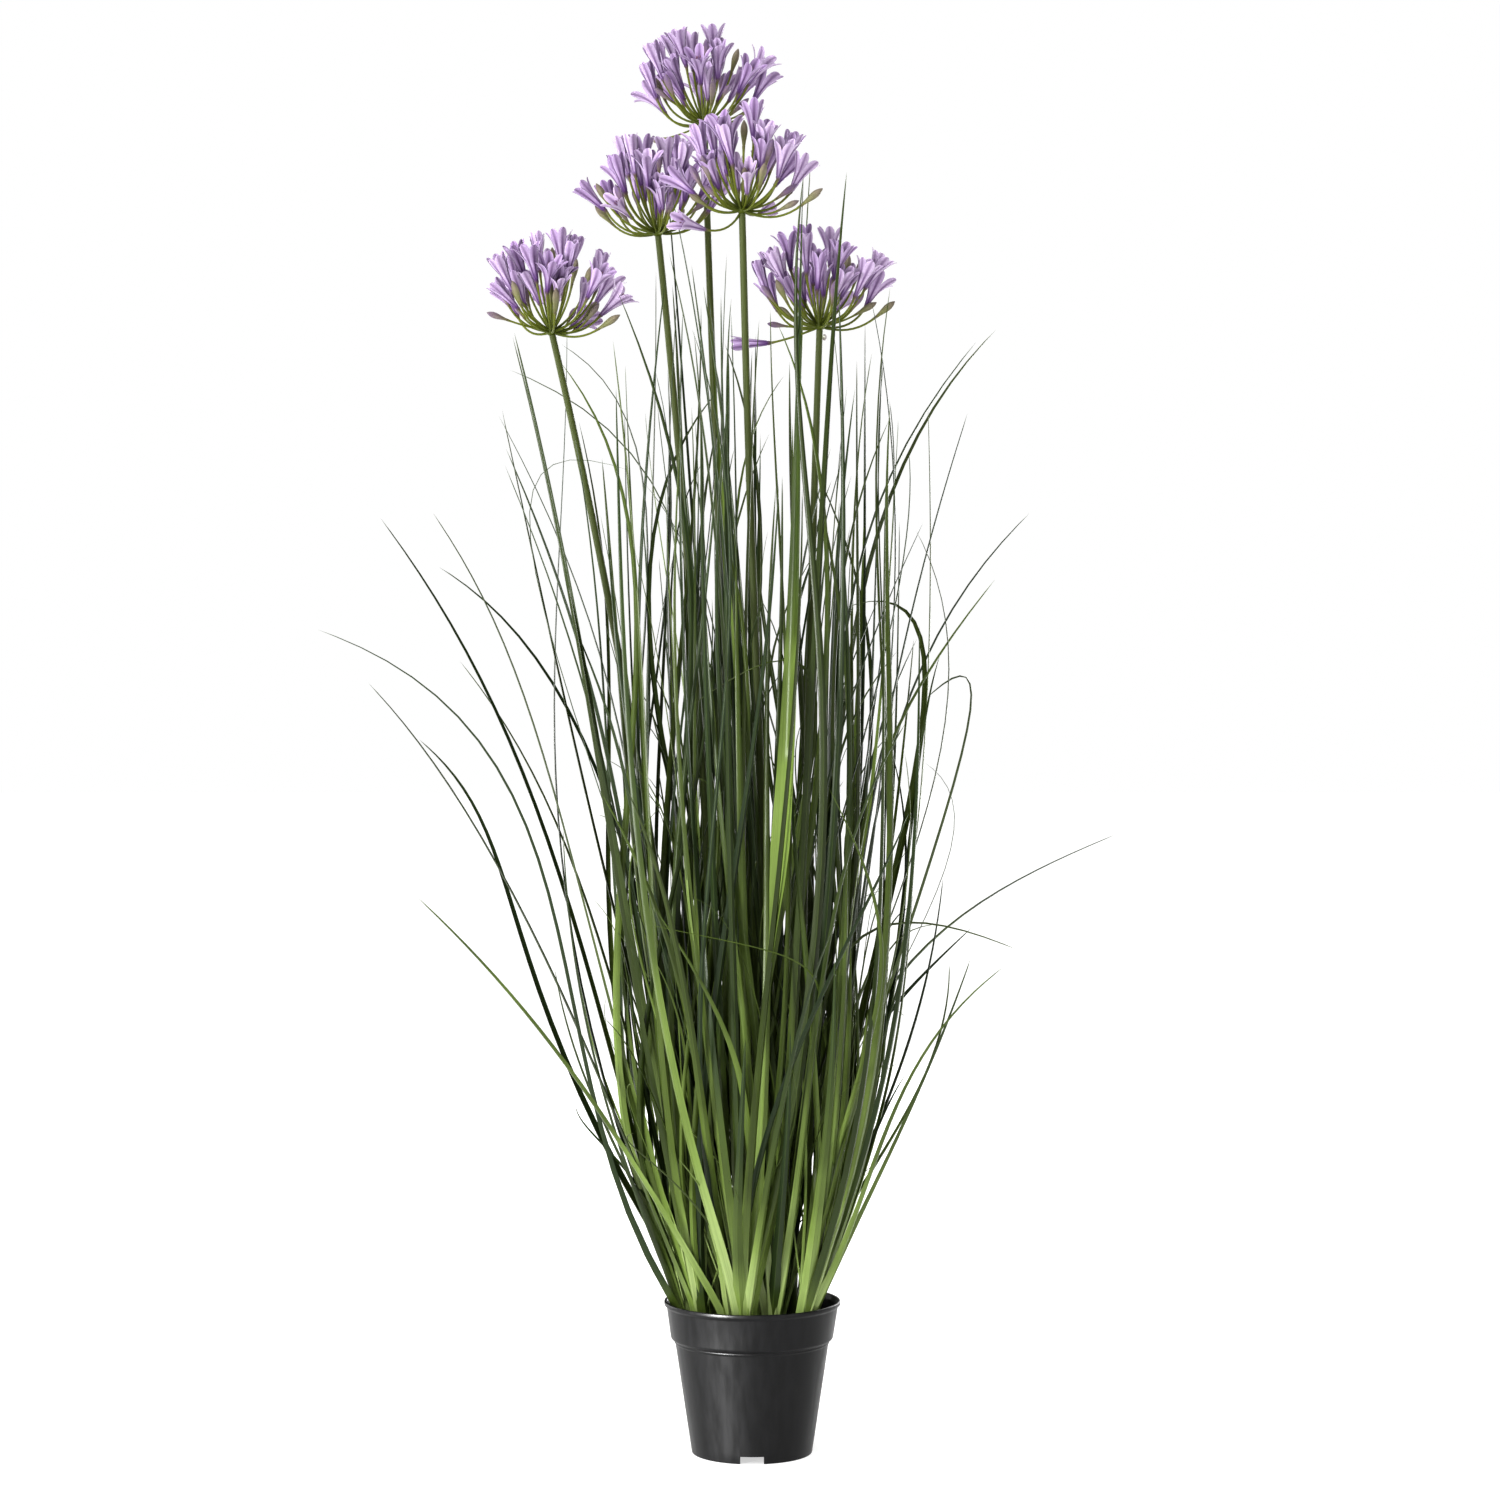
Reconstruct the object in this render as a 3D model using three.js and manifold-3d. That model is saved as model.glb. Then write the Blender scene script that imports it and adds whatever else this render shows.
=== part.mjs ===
// A potted agapanthus: five umbels of lilac flowers on tall scapes, in a bunch of grassy
// leaf tufts that stand in a filled black nursery pot.
// Millimetres, +Z up, origin at the middle of the pot's foot, -Y the side of its front notch.
import * as THREE from 'three';
import { mergeVertices } from 'three/addons/utils/BufferGeometryUtils.js';
import Module from 'manifold-3d';

const wasm = await Module();
wasm.setup();
const { degToRad, lerp, clamp } = THREE.MathUtils;
const vec = (x, y, z) => new THREE.Vector3(x, y, z);

// ---- Driving dimensions ----

const POT_SEGMENTS = 28;
const POT_HEIGHT = 127;
const FOOT_RADIUS = 50.5;
const BODY_HEIGHT = 94;
const BODY_RADIUS = 64.7;
const STEP_HEIGHT = 97;
const STEP_RADIUS = 68.2;
const COLLAR_HEIGHT = 122;
const COLLAR_RADIUS = 71.9;
const LIP_UNDERSIDE = 124;
const LIP_RADIUS = 74;
const LIP_WIDTH = 2.6;
const WALL = 2;
const BASE_UNDERSIDE = 7;
const BASE_TOP = 9;
const NOTCH_WIDTH = 20;
const NOTCH_HEIGHT = 6.5;
const NOTCH_AZIMUTHS = [-90, 30, 150];

const FILL_TOP = 103;
const ROOT_DEPTH = 30;
const SEAT_GAP = 0.35;

// Roots stand on a sunflower spiral, so that they fill the pot evenly.
const GOLDEN_ANGLE = degToRad(137.5);
const SPOTS = 19;
const SPOT_REACH = 52;

const SCAPE_SIDES = 6;
const SCAPE_RADIUS = 3.7;
const SCAPE_TOP_RADIUS = 2.8;
const SCAPE_PULL = 0.36;
const PEG_LENGTH = 8;
const PEG_RADIUS = 1.3;

// Each scape: its spot, where its flower head's hub stands, and its lean at root and top.
const SCAPES = [
  { spot: 4, hub: vec(-167, -10, 936), rootLean: 7, topLean: 13 },
  { spot: 1, hub: vec(-79, 10, 1022), rootLean: 4, topLean: 6 },
  { spot: 6, hub: vec(-41, 75, 1127), rootLean: 1, topLean: 3 },
  { spot: 5, hub: vec(-8, -85, 1025), rootLean: 3, topLean: 3 },
  { spot: 8, hub: vec(57, 10, 943), rootLean: 2, topLean: 2 },
];

const PEDICELS = 24;
const BUD_EVERY = 3;
const HIGHEST_PEDICEL = degToRad(86);
const LOWEST_PEDICEL = degToRad(-14);
const PEDICEL_LENGTH = 48;
const BUD_PEDICEL_LENGTH = 44;
const PEDICEL_RADIUS = 1;
const PEDICEL_RISE = 0.34;
const STRAIGHT_BEND = degToRad(18);
const HUB_RADIUS = 5.2;
const HUB_HEIGHT = 7;

const PETALS = 6;
const THROAT_RADIUS = 3;
const THROAT_HEIGHT = 15;
const PETAL_RADIUS = 6;
const PETAL_HALF_WIDTH = 2.8;
const PETAL_HEIGHT = 25;
const PETAL_THICKNESS = 0.9;
const TIP_RADIUS = 9;
const TIP_HEIGHT = 33;
const BUD_RADIUS = 3;
const BUD_BELLY = 11;
const BUD_LENGTH = 21;

const SHEATH_SIDES = 5;
const SHEATH_RADIUS = 5.2;
const SHEATH_TOP_RADIUS = 3.6;
const SHEATH_RISE = 50;
const SHEATH_POINT = 14;
const LOWEST_BLADE = 5;
const HIGHEST_BLADE = 44;
const BLADES_PER_TUFT = 10;
const LONG_WIDTHS = [6.2, 8];
const BUNCH_WIDTHS = [6.4, 8.4];
const KEEL = 1;
const CLEARANCE = 0.8;

// Blades that arch out of the bunch: spot, tip, lean at root, turn of the root from the tip's
// direction, azimuth and lean at the tip, and how far the curve holds each end's direction.
const LONG_BLADES = [
  [17, vec(-339, -190, 683), 36, -12, 180, 71, 0.40, 0.40],
  [12, vec(-315, -60, 644), 24, 0, 180, 44, 0.30, 0.30],
  [17, vec(-317, 40, 787), 17, 9, 180, 37, 0.40, 0.35],
  [12, vec(-257, -110, 780), 19, -40, 180, 35, 0.55, 0.25],
  [14, vec(-272, 90, 748), 12, 0, 180, 59, 0.35, 0.30],
  [9, vec(-286, 60, 598), 34, 20, 180, 50, 0.65, 0.25],
  [7, vec(-265, -150, 472), 31, -8, 180, 47, 0.35, 0.35],
  [14, vec(-213, 120, 923), 24, 0, 180, 69, 0.35, 0.40],
  [9, vec(-165, 80, 940), 29, 10, 180, 60, 0.45, 0.25],
  [17, vec(-218, 60, 877), 9, -4, 180, 29, 0.40, 0.40],
  [12, vec(-203, -60, 823), 12, 0, 180, 23, 0.40, 0.40],
  [12, vec(-194, -95, 924), 11, 0, 180, 15, 0.45, 0.30],
  [9, vec(-111, -60, 967), 10, 0, 180, 23, 0.55, 0.40],
  [14, vec(-255, 100, 667), 25, 0, 170, 40, 0.35, 0.35],
  [7, vec(-210, 0, 875), 18, 0, 180, 12, 0.35, 0.35],
  [16, vec(334, 240, 512), 28, 45, 0, 68, 0.55, 0.35],
  [18, vec(218, -60, 425), 7, -36, 0, 113, 0.65, 0.60],
  [16, vec(239, 60, 793), 15, 11, 0, 46, 0.40, 0.35],
  [13, vec(201, -40, 730), 9, 0, 0, 39, 0.55, 0.40],
  [3, vec(212, 90, 954), 20, 30, 0, 45, 0.45, 0.30],
  [18, vec(175, -90, 863), 9, -27, 0, 18, 0.45, 0.30],
  [13, vec(188, -10, 931), 15, 0, 0, 40, 0.40, 0.40],
  [16, vec(144, -30, 631), 13, -14, 180, 134, 0.45, 0.30],
  [13, vec(79, 40, 710), 12, 14, 180, 110, 0.40, 0.30],
  [10, vec(-50, -120, 624), 24, -20, 180, 126, 0.50, 0.55],
  [18, vec(197, -170, 418), 33, 28, 0, 53, 0.35, 0.35],
  [13, vec(177, -90, 419), 27, 8, 0, 19, 0.40, 0.30],
  [16, vec(193, 120, 433), 18, 0, 0, 47, 0.60, 0.50],
  [10, vec(76, -120, 1053), 14, -20, 0, 6, 0.55, 0.20],
  [15, vec(41, -150, 1047), 19, 20, 0, 7, 0.60, 0.30],
  [3, vec(51, 90, 1101), 12, 0, 0, 4, 0.25, 0.30],
  [2, vec(-66, -110, 1042), 13, -6, 180, 13, 0.20, 0.40],
  [0, vec(-77, 100, 1120), 5, 0, 180, 5, 0.35, 0.35],
  [15, vec(60, -290, 455), 26, 0, -80, 64, 0.40, 0.35],
  [7, vec(-95, -262, 560), 24, 0, -110, 50, 0.40, 0.35],
  [15, vec(-20, -236, 690), 20, 0, -90, 42, 0.40, 0.35],
  [10, vec(118, -228, 610), 22, 0, -60, 50, 0.40, 0.35],
  [11, vec(30, 290, 560), 26, 0, 85, 60, 0.40, 0.35],
  [14, vec(-125, 268, 480), 26, 0, 115, 55, 0.40, 0.35],
  [11, vec(70, 232, 790), 20, 0, 80, 38, 0.40, 0.35],
  [7, vec(-40, -205, 850), 14, 0, -90, 22, 0.40, 0.35],
  [14, vec(-60, 226, 830), 17, 0, 100, 30, 0.40, 0.35],
  [16, vec(150, 215, 690), 22, 0, 55, 44, 0.40, 0.35],
];

// ---- Materials ----

const finish = (color, roughness) => new THREE.MeshStandardMaterial({ color, roughness, metalness: 0 });
const POT_PLASTIC = finish('#2b2b2d', 0.42);
const FILL_STONE = finish('#3b342c', 0.95);
const SCAPE_GREEN = finish('#50643a', 0.5);
const PETAL_LILAC = finish('#a793cf', 0.6);
const LEAF_GREEN = finish('#47663a', 0.45);

// ---- Solids ----

function weld(geometry) {
  geometry.deleteAttribute('normal');
  geometry.deleteAttribute('uv');
  const merged = mergeVertices(geometry, 1e-4);
  const kept = [];
  for (let i = 0; i < merged.index.count; i += 3) {
    const [a, b, c] = [0, 1, 2].map((corner) => merged.index.getX(i + corner));
    if (a !== b && b !== c && c !== a) kept.push(a, b, c);
  }
  merged.setIndex(kept);
  return merged;
}

function solid(geometry) {
  return new wasm.Manifold(new wasm.Mesh({
    numProp: 3,
    vertProperties: new Float32Array(geometry.attributes.position.array),
    triVerts: new Uint32Array(geometry.index.array),
  }));
}

function meshSolid(points, triangles) {
  const geometry = new THREE.BufferGeometry();
  geometry.setAttribute('position', new THREE.Float32BufferAttribute(points.flatMap((p) => p.toArray()), 3));
  geometry.setIndex(triangles);
  return solid(geometry);
}

// Skins rings of points that run counter-clockwise about the way from first to last. The last
// ring is closed flat, or by the tip if there is one. The caller may add faces of its own.
class Skin {
  constructor() {
    this.points = [];
    this.triangles = [];
  }

  ring(points) {
    const first = this.points.length;
    this.points.push(...points);
    return points.map((_, i) => first + i);
  }

  cap(ring) {
    for (let i = 2; i < ring.length; i++) this.triangles.push(ring[0], ring[i], ring[i - 1]);
  }

  lid(ring) {
    for (let i = 2; i < ring.length; i++) this.triangles.push(ring[0], ring[i - 1], ring[i]);
  }

  band(low, high) {
    low.forEach((a, i) => {
      const next = (i + 1) % low.length;
      this.triangles.push(a, low[next], high[next], a, high[next], high[i]);
    });
  }

  tip(ring, point) {
    const [top] = this.ring([point]);
    ring.forEach((a, i) => this.triangles.push(a, ring[(i + 1) % ring.length], top));
  }

  solid() {
    return meshSolid(this.points, this.triangles);
  }
}

function loft(sections, point = null) {
  const skin = new Skin();
  const rings = sections.map((section) => skin.ring(section));
  skin.cap(rings[0]);
  for (let i = 1; i < rings.length; i++) skin.band(rings[i - 1], rings[i]);
  const last = rings[rings.length - 1];
  if (point) skin.tip(last, point);
  else skin.lid(last);
  return skin.solid();
}

// Two directions square to a way that isn't upright, the first one level.
function across(way) {
  const u = vec(-way.y, way.x, 0).normalize();
  return [u, way.clone().cross(u)];
}

function polygon(center, way, radius, sides) {
  const [u, v] = across(way);
  return Array.from({ length: sides }, (_, i) => {
    const angle = (2 * Math.PI * i) / sides;
    return center.clone()
      .addScaledVector(u, radius * Math.cos(angle))
      .addScaledVector(v, radius * Math.sin(angle));
  });
}

function rod(from, to, fromRadius, toRadius, sides) {
  const way = to.clone().sub(from).normalize();
  return loft([polygon(from, way, fromRadius, sides), polygon(to, way, toRadius, sides)]);
}

function turned(profile) {
  const geometry = new THREE.LatheGeometry(profile.map(([r, z]) => new THREE.Vector2(r, z)), POT_SEGMENTS);
  return solid(weld(geometry.rotateX(Math.PI / 2)));
}

const part = new THREE.Group();

function place(name, shape, material) {
  const { vertProperties, triVerts } = shape.getMesh();
  const geometry = new THREE.BufferGeometry();
  geometry.setAttribute('position', new THREE.BufferAttribute(vertProperties, 3));
  geometry.setIndex(new THREE.BufferAttribute(triVerts, 1));
  geometry.computeVertexNormals();
  const mesh = new THREE.Mesh(geometry, material);
  mesh.name = name;
  part.add(mesh);
}

// ---- Curves ----

const heading = (azimuth, lean) =>
  vec(Math.cos(azimuth) * Math.sin(lean), Math.sin(azimuth) * Math.sin(lean), Math.cos(lean));

function bend(root, rootWay, tip, tipWay, rootPull, tipPull) {
  const reach = tip.distanceTo(root);
  return new THREE.CubicBezierCurve3(
    root,
    root.clone().addScaledVector(rootWay, reach * rootPull),
    tip.clone().addScaledVector(tipWay, -reach * tipPull),
    tip,
  );
}

// Park and Miller's generator, so that the same plant grows every time.
class Draw {
  constructor(seed) {
    this.state = seed;
  }

  next() {
    this.state = (this.state * 16807) % 2147483647;
    return this.state / 2147483647;
  }

  between(low, high) {
    return low + (high - low) * this.next();
  }
}

// ---- Where the roots stand ----

function spotAt(n) {
  const radius = SPOT_REACH * Math.sqrt((n + 0.5) / SPOTS);
  const azimuth = n * GOLDEN_ANGLE;
  const edge = radius / SPOT_REACH;
  return { n, azimuth, edge, x: radius * Math.cos(azimuth), y: radius * Math.sin(azimuth) };
}

const scapes = SCAPES.map(({ spot, hub, rootLean, topLean }) => {
  const { x, y } = spotAt(spot);
  const root = vec(x, y, FILL_TOP - ROOT_DEPTH);
  const azimuth = Math.atan2(hub.y - y, hub.x - x);
  const topWay = heading(azimuth, degToRad(topLean));
  const curve = bend(root, heading(azimuth, degToRad(rootLean)), hub, topWay, SCAPE_PULL, SCAPE_PULL);
  return { spot, hub, topWay, curve };
});

const taken = SCAPES.map(({ spot }) => spot);
const tufts = [];
for (let n = 0; n < SPOTS; n++) {
  if (taken.includes(n)) continue;
  const spot = spotAt(n);
  const way = heading(spot.azimuth, degToRad(2 + 17 * spot.edge));
  tufts.push({ ...spot, way, surface: vec(spot.x, spot.y, FILL_TOP), blades: [] });
}

// ---- Blades that keep clear of each other ----

const bladeWidthAt = (width, t) => (t === 0 ? 0.4 * width : width * (1 - t) ** 0.55);

function stationsOf(rootWay, tipWay) {
  const turn = rootWay.angleTo(tipWay);
  let spans = 5;
  if (turn > degToRad(50)) spans = 6;
  if (turn > degToRad(90)) spans = 8;
  const first = 0.08;
  const stations = [0];
  for (let i = 0; i < spans; i++) stations.push(first + ((1 - first) * i) / (spans - 1));
  return stations;
}

// The blade as chords, each with its ends, its half-widths there and its way from the root.
function chordsOf(points, halfWidths) {
  const chords = [];
  let along = 0;
  for (let i = 1; i < points.length; i++) {
    const length = points[i].distanceTo(points[i - 1]);
    chords.push({ a: points[i - 1], b: points[i], ra: halfWidths[i - 1], rb: halfWidths[i], along, length });
    along += length;
  }
  return chords;
}

// Shares of the way along two chords at which they come closest.
function closest(p, q) {
  const d1 = p.b.clone().sub(p.a);
  const d2 = q.b.clone().sub(q.a);
  const w = p.a.clone().sub(q.a);
  const [a, b, c, e, f] = [d1.dot(d1), d1.dot(d2), d1.dot(w), d2.dot(d2), d2.dot(w)];
  const square = a * e - b * b;
  let u = square > 1e-9 ? clamp((b * f - c * e) / square, 0, 1) : 0;
  let v = (b * u + f) / e;
  if (v < 0) {
    v = 0;
    u = clamp(-c / a, 0, 1);
  } else if (v > 1) {
    v = 1;
    u = clamp((b - c) / a, 0, 1);
  }
  return [u, v];
}

const OWN_FROM = 30;
const OWN_SHARE = 0.8;

function tooClose(p, q, sameTuft) {
  for (const axis of ['x', 'y', 'z']) {
    const room = Math.max(p.ra, p.rb) + Math.max(q.ra, q.rb) + CLEARANCE;
    if (Math.min(p.a[axis], p.b[axis]) - Math.max(q.a[axis], q.b[axis]) > room) return false;
    if (Math.min(q.a[axis], q.b[axis]) - Math.max(p.a[axis], p.b[axis]) > room) return false;
  }
  const [u, v] = closest(p, q);
  let need = lerp(p.ra, p.rb, u) + lerp(q.ra, q.rb, v) + CLEARANCE;
  if (sameTuft) {
    if (p.along + u * p.length < OWN_FROM || q.along + v * q.length < OWN_FROM) return false;
    need *= OWN_SHARE;
  }
  return p.a.clone().lerp(p.b, u).distanceTo(q.a.clone().lerp(q.b, v)) < need;
}

const HEAD_CENTER = 42;
const HEAD_ROOM = 63;
const RIM_ROOM = 69.5;
const RIM_ZONE = 130;
const standing = [];

function stand(owner, chords) {
  for (const chord of chords) standing.push({ owner, chord });
}

function clearOfHeads(chord) {
  return scapes.every(({ hub }) => {
    const center = hub.clone().setZ(hub.z + HEAD_CENTER);
    const [u] = closest(chord, { a: center, b: center.clone().setZ(center.z + 1) });
    return chord.a.clone().lerp(chord.b, u).distanceTo(center) > HEAD_ROOM;
  });
}

const clearOfRim = ({ a, ra }) => a.z > RIM_ZONE || Math.hypot(a.x, a.y) + ra < RIM_ROOM;

function clearOfAll(owner, chords) {
  return chords.every((chord) => clearOfRim(chord) && clearOfHeads(chord)
    && !standing.some((other) => tooClose(chord, other.chord, other.owner === owner)));
}

for (const { spot, curve } of scapes) {
  const points = curve.getPoints(6);
  stand(spot, chordsOf(points, points.map(() => SCAPE_RADIUS)));
}
for (const { n, surface, way } of tufts) {
  const points = [surface, surface.clone().addScaledVector(way, SHEATH_RISE)];
  stand(n, chordsOf(points, [SHEATH_RADIUS, SHEATH_TOP_RADIUS]));
}

const TRIES = 120;
const LARGEST_STRAY = 14;

// Draws shapes for a blade until one keeps clear of all that stands already.
function grow(tuft, seed, shape) {
  const draw = new Draw(seed);
  for (let attempt = 0; attempt < TRIES; attempt++) {
    const blade = shape(draw, attempt);
    const stations = stationsOf(blade.rootWay, blade.tipWay);
    const points = stations.map((t) => blade.curve.getPoint(t));
    const chords = chordsOf(points, stations.map((t) => bladeWidthAt(blade.width, t) / 2));
    if (clearOfAll(tuft.n, chords)) {
      stand(tuft.n, chords);
      tuft.blades.push({ ...blade, stations });
      return;
    }
  }
}

function rootOn(tuft, rise, azimuth) {
  return tuft.surface.clone()
    .addScaledVector(tuft.way, rise)
    .add(vec(1.2 * Math.cos(azimuth), 1.2 * Math.sin(azimuth), 0));
}

// A blade that arches out of the bunch: each new try strays a little further from its curve.
function growLongBlade(row, seed) {
  const [n, tip, rootLean, turn, tipAzimuth, tipLean, rootPull, tipPull] = row;
  const tuft = tufts.find((each) => each.n === n);
  grow(tuft, seed, (draw, attempt) => {
    const stray = Math.min(0.6 * attempt, LARGEST_STRAY);
    const rise = draw.between(LOWEST_BLADE, HIGHEST_BLADE);
    const toTip = Math.atan2(tip.y - tuft.y, tip.x - tuft.x);
    const azimuth = toTip + degToRad(turn + stray * draw.between(-1, 1));
    const rootWay = heading(azimuth, degToRad(rootLean + stray * draw.between(-1, 1)));
    const tipWay = heading(degToRad(tipAzimuth), degToRad(tipLean));
    const root = rootOn(tuft, rise, azimuth);
    return {
      curve: bend(root, rootWay, tip, tipWay, rootPull, tipPull),
      rootWay,
      tipWay,
      width: draw.between(...LONG_WIDTHS),
      twist: draw.between(-40, 40),
    };
  });
}

// One of the blades that make up the bunch: they lean out more the further out they root.
function growBunchBlade(tuft, seed, share) {
  const { edge, azimuth } = tuft;
  grow(tuft, seed, (draw) => {
    const fan = 28 + 150 * (1 - edge);
    const rootAzimuth = azimuth + degToRad(fan * (share + draw.between(-0.3, 0.3)));
    const rootLean = degToRad(3 + 22 * edge + draw.between(-7, 5));
    const height = 230 + 640 * draw.next() ** 0.8;
    const tall = height / 870;
    const reach = (48 + 122 * edge) * draw.between(0.62, 1.16) * (0.9 + 0.12 * tall);
    const tipAzimuth = rootAzimuth + degToRad(draw.between(-14, 14));
    const tip = vec(reach * Math.cos(tipAzimuth), reach * Math.sin(tipAzimuth), FILL_TOP + height);
    const tipLean = degToRad(draw.between(-4, 8) + 46 * draw.next() ** 2 * (1.25 - tall));
    const rootWay = heading(rootAzimuth, rootLean);
    const tipWay = heading(tipAzimuth + degToRad(draw.between(-45, 45)), tipLean);
    const root = rootOn(tuft, draw.between(LOWEST_BLADE, HIGHEST_BLADE), rootAzimuth);
    return {
      curve: bend(root, rootWay, tip, tipWay, draw.between(0.32, 0.42), draw.between(0.3, 0.42)),
      rootWay,
      tipWay,
      width: draw.between(...BUNCH_WIDTHS),
      twist: draw.between(-50, 50),
    };
  });
}

LONG_BLADES.forEach((row, i) => growLongBlade(row, 7000 + 13 * i));
tufts.forEach((tuft, k) => {
  const count = BLADES_PER_TUFT - tuft.blades.length;
  for (let j = 0; j < count; j++) {
    growBunchBlade(tuft, 1000 + 107 * k + 7 * j, (2 * (j + 0.5)) / count - 1);
  }
});

// ---- Pot and fill ----

// Inner radius of the pot's wall at the corners of its outside.
const innerAt = (radius) => radius - WALL;

function potSolid() {
  const footInner = innerAt(FOOT_RADIUS);
  const baseShare = BASE_UNDERSIDE / BODY_HEIGHT;
  const baseTopShare = BASE_TOP / BODY_HEIGHT;
  let shape = turned([
    [0, BASE_UNDERSIDE],
    [lerp(footInner, innerAt(BODY_RADIUS), baseShare), BASE_UNDERSIDE],
    [footInner, 0],
    [FOOT_RADIUS, 0],
    [BODY_RADIUS, BODY_HEIGHT],
    [STEP_RADIUS, STEP_HEIGHT],
    [COLLAR_RADIUS, COLLAR_HEIGHT],
    [LIP_RADIUS, LIP_UNDERSIDE],
    [LIP_RADIUS, POT_HEIGHT],
    [LIP_RADIUS - LIP_WIDTH, POT_HEIGHT],
    [innerAt(COLLAR_RADIUS), COLLAR_HEIGHT],
    [innerAt(STEP_RADIUS), STEP_HEIGHT],
    [innerAt(BODY_RADIUS), BODY_HEIGHT],
    [lerp(footInner, innerAt(BODY_RADIUS), baseTopShare), BASE_TOP],
    [0, BASE_TOP],
  ]);
  for (const azimuth of NOTCH_AZIMUTHS) {
    const notch = new THREE.BoxGeometry(3 * NOTCH_WIDTH, NOTCH_WIDTH, 2 * NOTCH_HEIGHT);
    notch.translate(FOOT_RADIUS, 0, 0).rotateZ(degToRad(azimuth));
    shape = shape.subtract(solid(weld(notch)));
  }
  return shape;
}

function scapeSections(curve, extra) {
  const spans = 4;
  return Array.from({ length: spans + 1 }, (_, i) => {
    const t = i / spans;
    const radius = lerp(SCAPE_RADIUS, SCAPE_TOP_RADIUS, t) + extra;
    return polygon(curve.getPoint(t), curve.getTangent(t), radius, SCAPE_SIDES);
  });
}

function scapeSolid({ curve, hub, topWay }) {
  const socket = rod(
    hub.clone().addScaledVector(topWay, -PEG_LENGTH - SEAT_GAP),
    hub.clone().addScaledVector(topWay, 1),
    PEG_RADIUS + SEAT_GAP,
    PEG_RADIUS + SEAT_GAP,
    SCAPE_SIDES,
  );
  return loft(scapeSections(curve, 0)).subtract(socket);
}

// The five-sided outline of a tuft's sheath at a rise above the fill, grown by the extra.
function sheathSection({ surface, way }, rise, extra = 0) {
  const radius = lerp(SHEATH_RADIUS, SHEATH_TOP_RADIUS, rise / SHEATH_RISE) + extra;
  return polygon(surface.clone().addScaledVector(way, rise), way, radius, SHEATH_SIDES);
}

function sheathSolid(tuft) {
  const point = tuft.surface.clone().addScaledVector(tuft.way, SHEATH_RISE + SHEATH_POINT);
  return loft([sheathSection(tuft, -ROOT_DEPTH), sheathSection(tuft, SHEATH_RISE)], point);
}

const HOLE_RISE = 4;

function sheathHole(tuft) {
  return loft([
    sheathSection(tuft, -ROOT_DEPTH - SEAT_GAP, SEAT_GAP),
    sheathSection(tuft, HOLE_RISE, SEAT_GAP),
  ]);
}

function fillSolid() {
  const bodyShare = BASE_TOP / BODY_HEIGHT;
  const wallAtBase = lerp(innerAt(FOOT_RADIUS), innerAt(BODY_RADIUS), bodyShare);
  const topShare = (FILL_TOP - STEP_HEIGHT) / (COLLAR_HEIGHT - STEP_HEIGHT);
  let shape = turned([
    [0, BASE_TOP + SEAT_GAP],
    [wallAtBase - SEAT_GAP, BASE_TOP + SEAT_GAP],
    [innerAt(BODY_RADIUS) - SEAT_GAP, BODY_HEIGHT],
    [innerAt(STEP_RADIUS) - SEAT_GAP, STEP_HEIGHT],
    [lerp(innerAt(STEP_RADIUS), innerAt(COLLAR_RADIUS), topShare) - SEAT_GAP, FILL_TOP],
    [0, FILL_TOP],
  ]);
  for (const { curve } of scapes) {
    const hole = scapeSections(curve, SEAT_GAP).slice(0, 2);
    const drop = vec(0, 0, -SEAT_GAP);
    hole[0].forEach((point) => point.add(drop));
    shape = shape.subtract(loft(hole));
  }
  for (const tuft of tufts) shape = shape.subtract(sheathHole(tuft));
  return shape;
}

// ---- Leaf tufts ----

function bladeSolid({ curve, stations, width, twist }) {
  const chord = curve.v3.clone().sub(curve.v0);
  const level = vec(0, 0, 1).cross(chord).normalize();
  const sections = stations.slice(0, -1).map((t) => {
    const center = curve.getPoint(t);
    const way = curve.getTangent(t);
    const side = level.clone().sub(way.clone().multiplyScalar(level.dot(way))).normalize();
    side.applyAxisAngle(way, degToRad(twist * (0.35 + 0.65 * t)));
    const back = way.clone().cross(side);
    const half = bladeWidthAt(width, t) / 2;
    return [
      center.clone().addScaledVector(side, half),
      center.clone().addScaledVector(back, KEEL),
      center.clone().addScaledVector(side, -half),
    ];
  });
  return loft(sections, curve.v3);
}

function tuftSolid(tuft) {
  let shape = sheathSolid(tuft);
  for (const blade of tuft.blades) shape = shape.add(bladeSolid(blade));
  return shape;
}

// ---- Flower heads ----

// A six-sided ring or six points about a way, every second one in line with the three-sided stalk.
function flowerRing(base, way, radius, height, shift = 0) {
  const [u, v] = across(way);
  return Array.from({ length: PETALS }, (_, k) => {
    const angle = (2 * Math.PI * (k + shift)) / PETALS;
    return base.clone()
      .addScaledVector(way, height)
      .addScaledVector(u, radius * Math.cos(angle))
      .addScaledVector(v, radius * Math.sin(angle));
  });
}

// Widens the three-sided stalk to a ring of six.
function widen(skin, stalk, ring) {
  stalk.forEach((low, j) => {
    const next = stalk[(j + 1) % 3];
    const [a, b, c] = [ring[2 * j], ring[2 * j + 1], ring[(2 * j + 2) % PETALS]];
    skin.triangles.push(low, b, a, low, next, b, next, c, b);
  });
}

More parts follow.
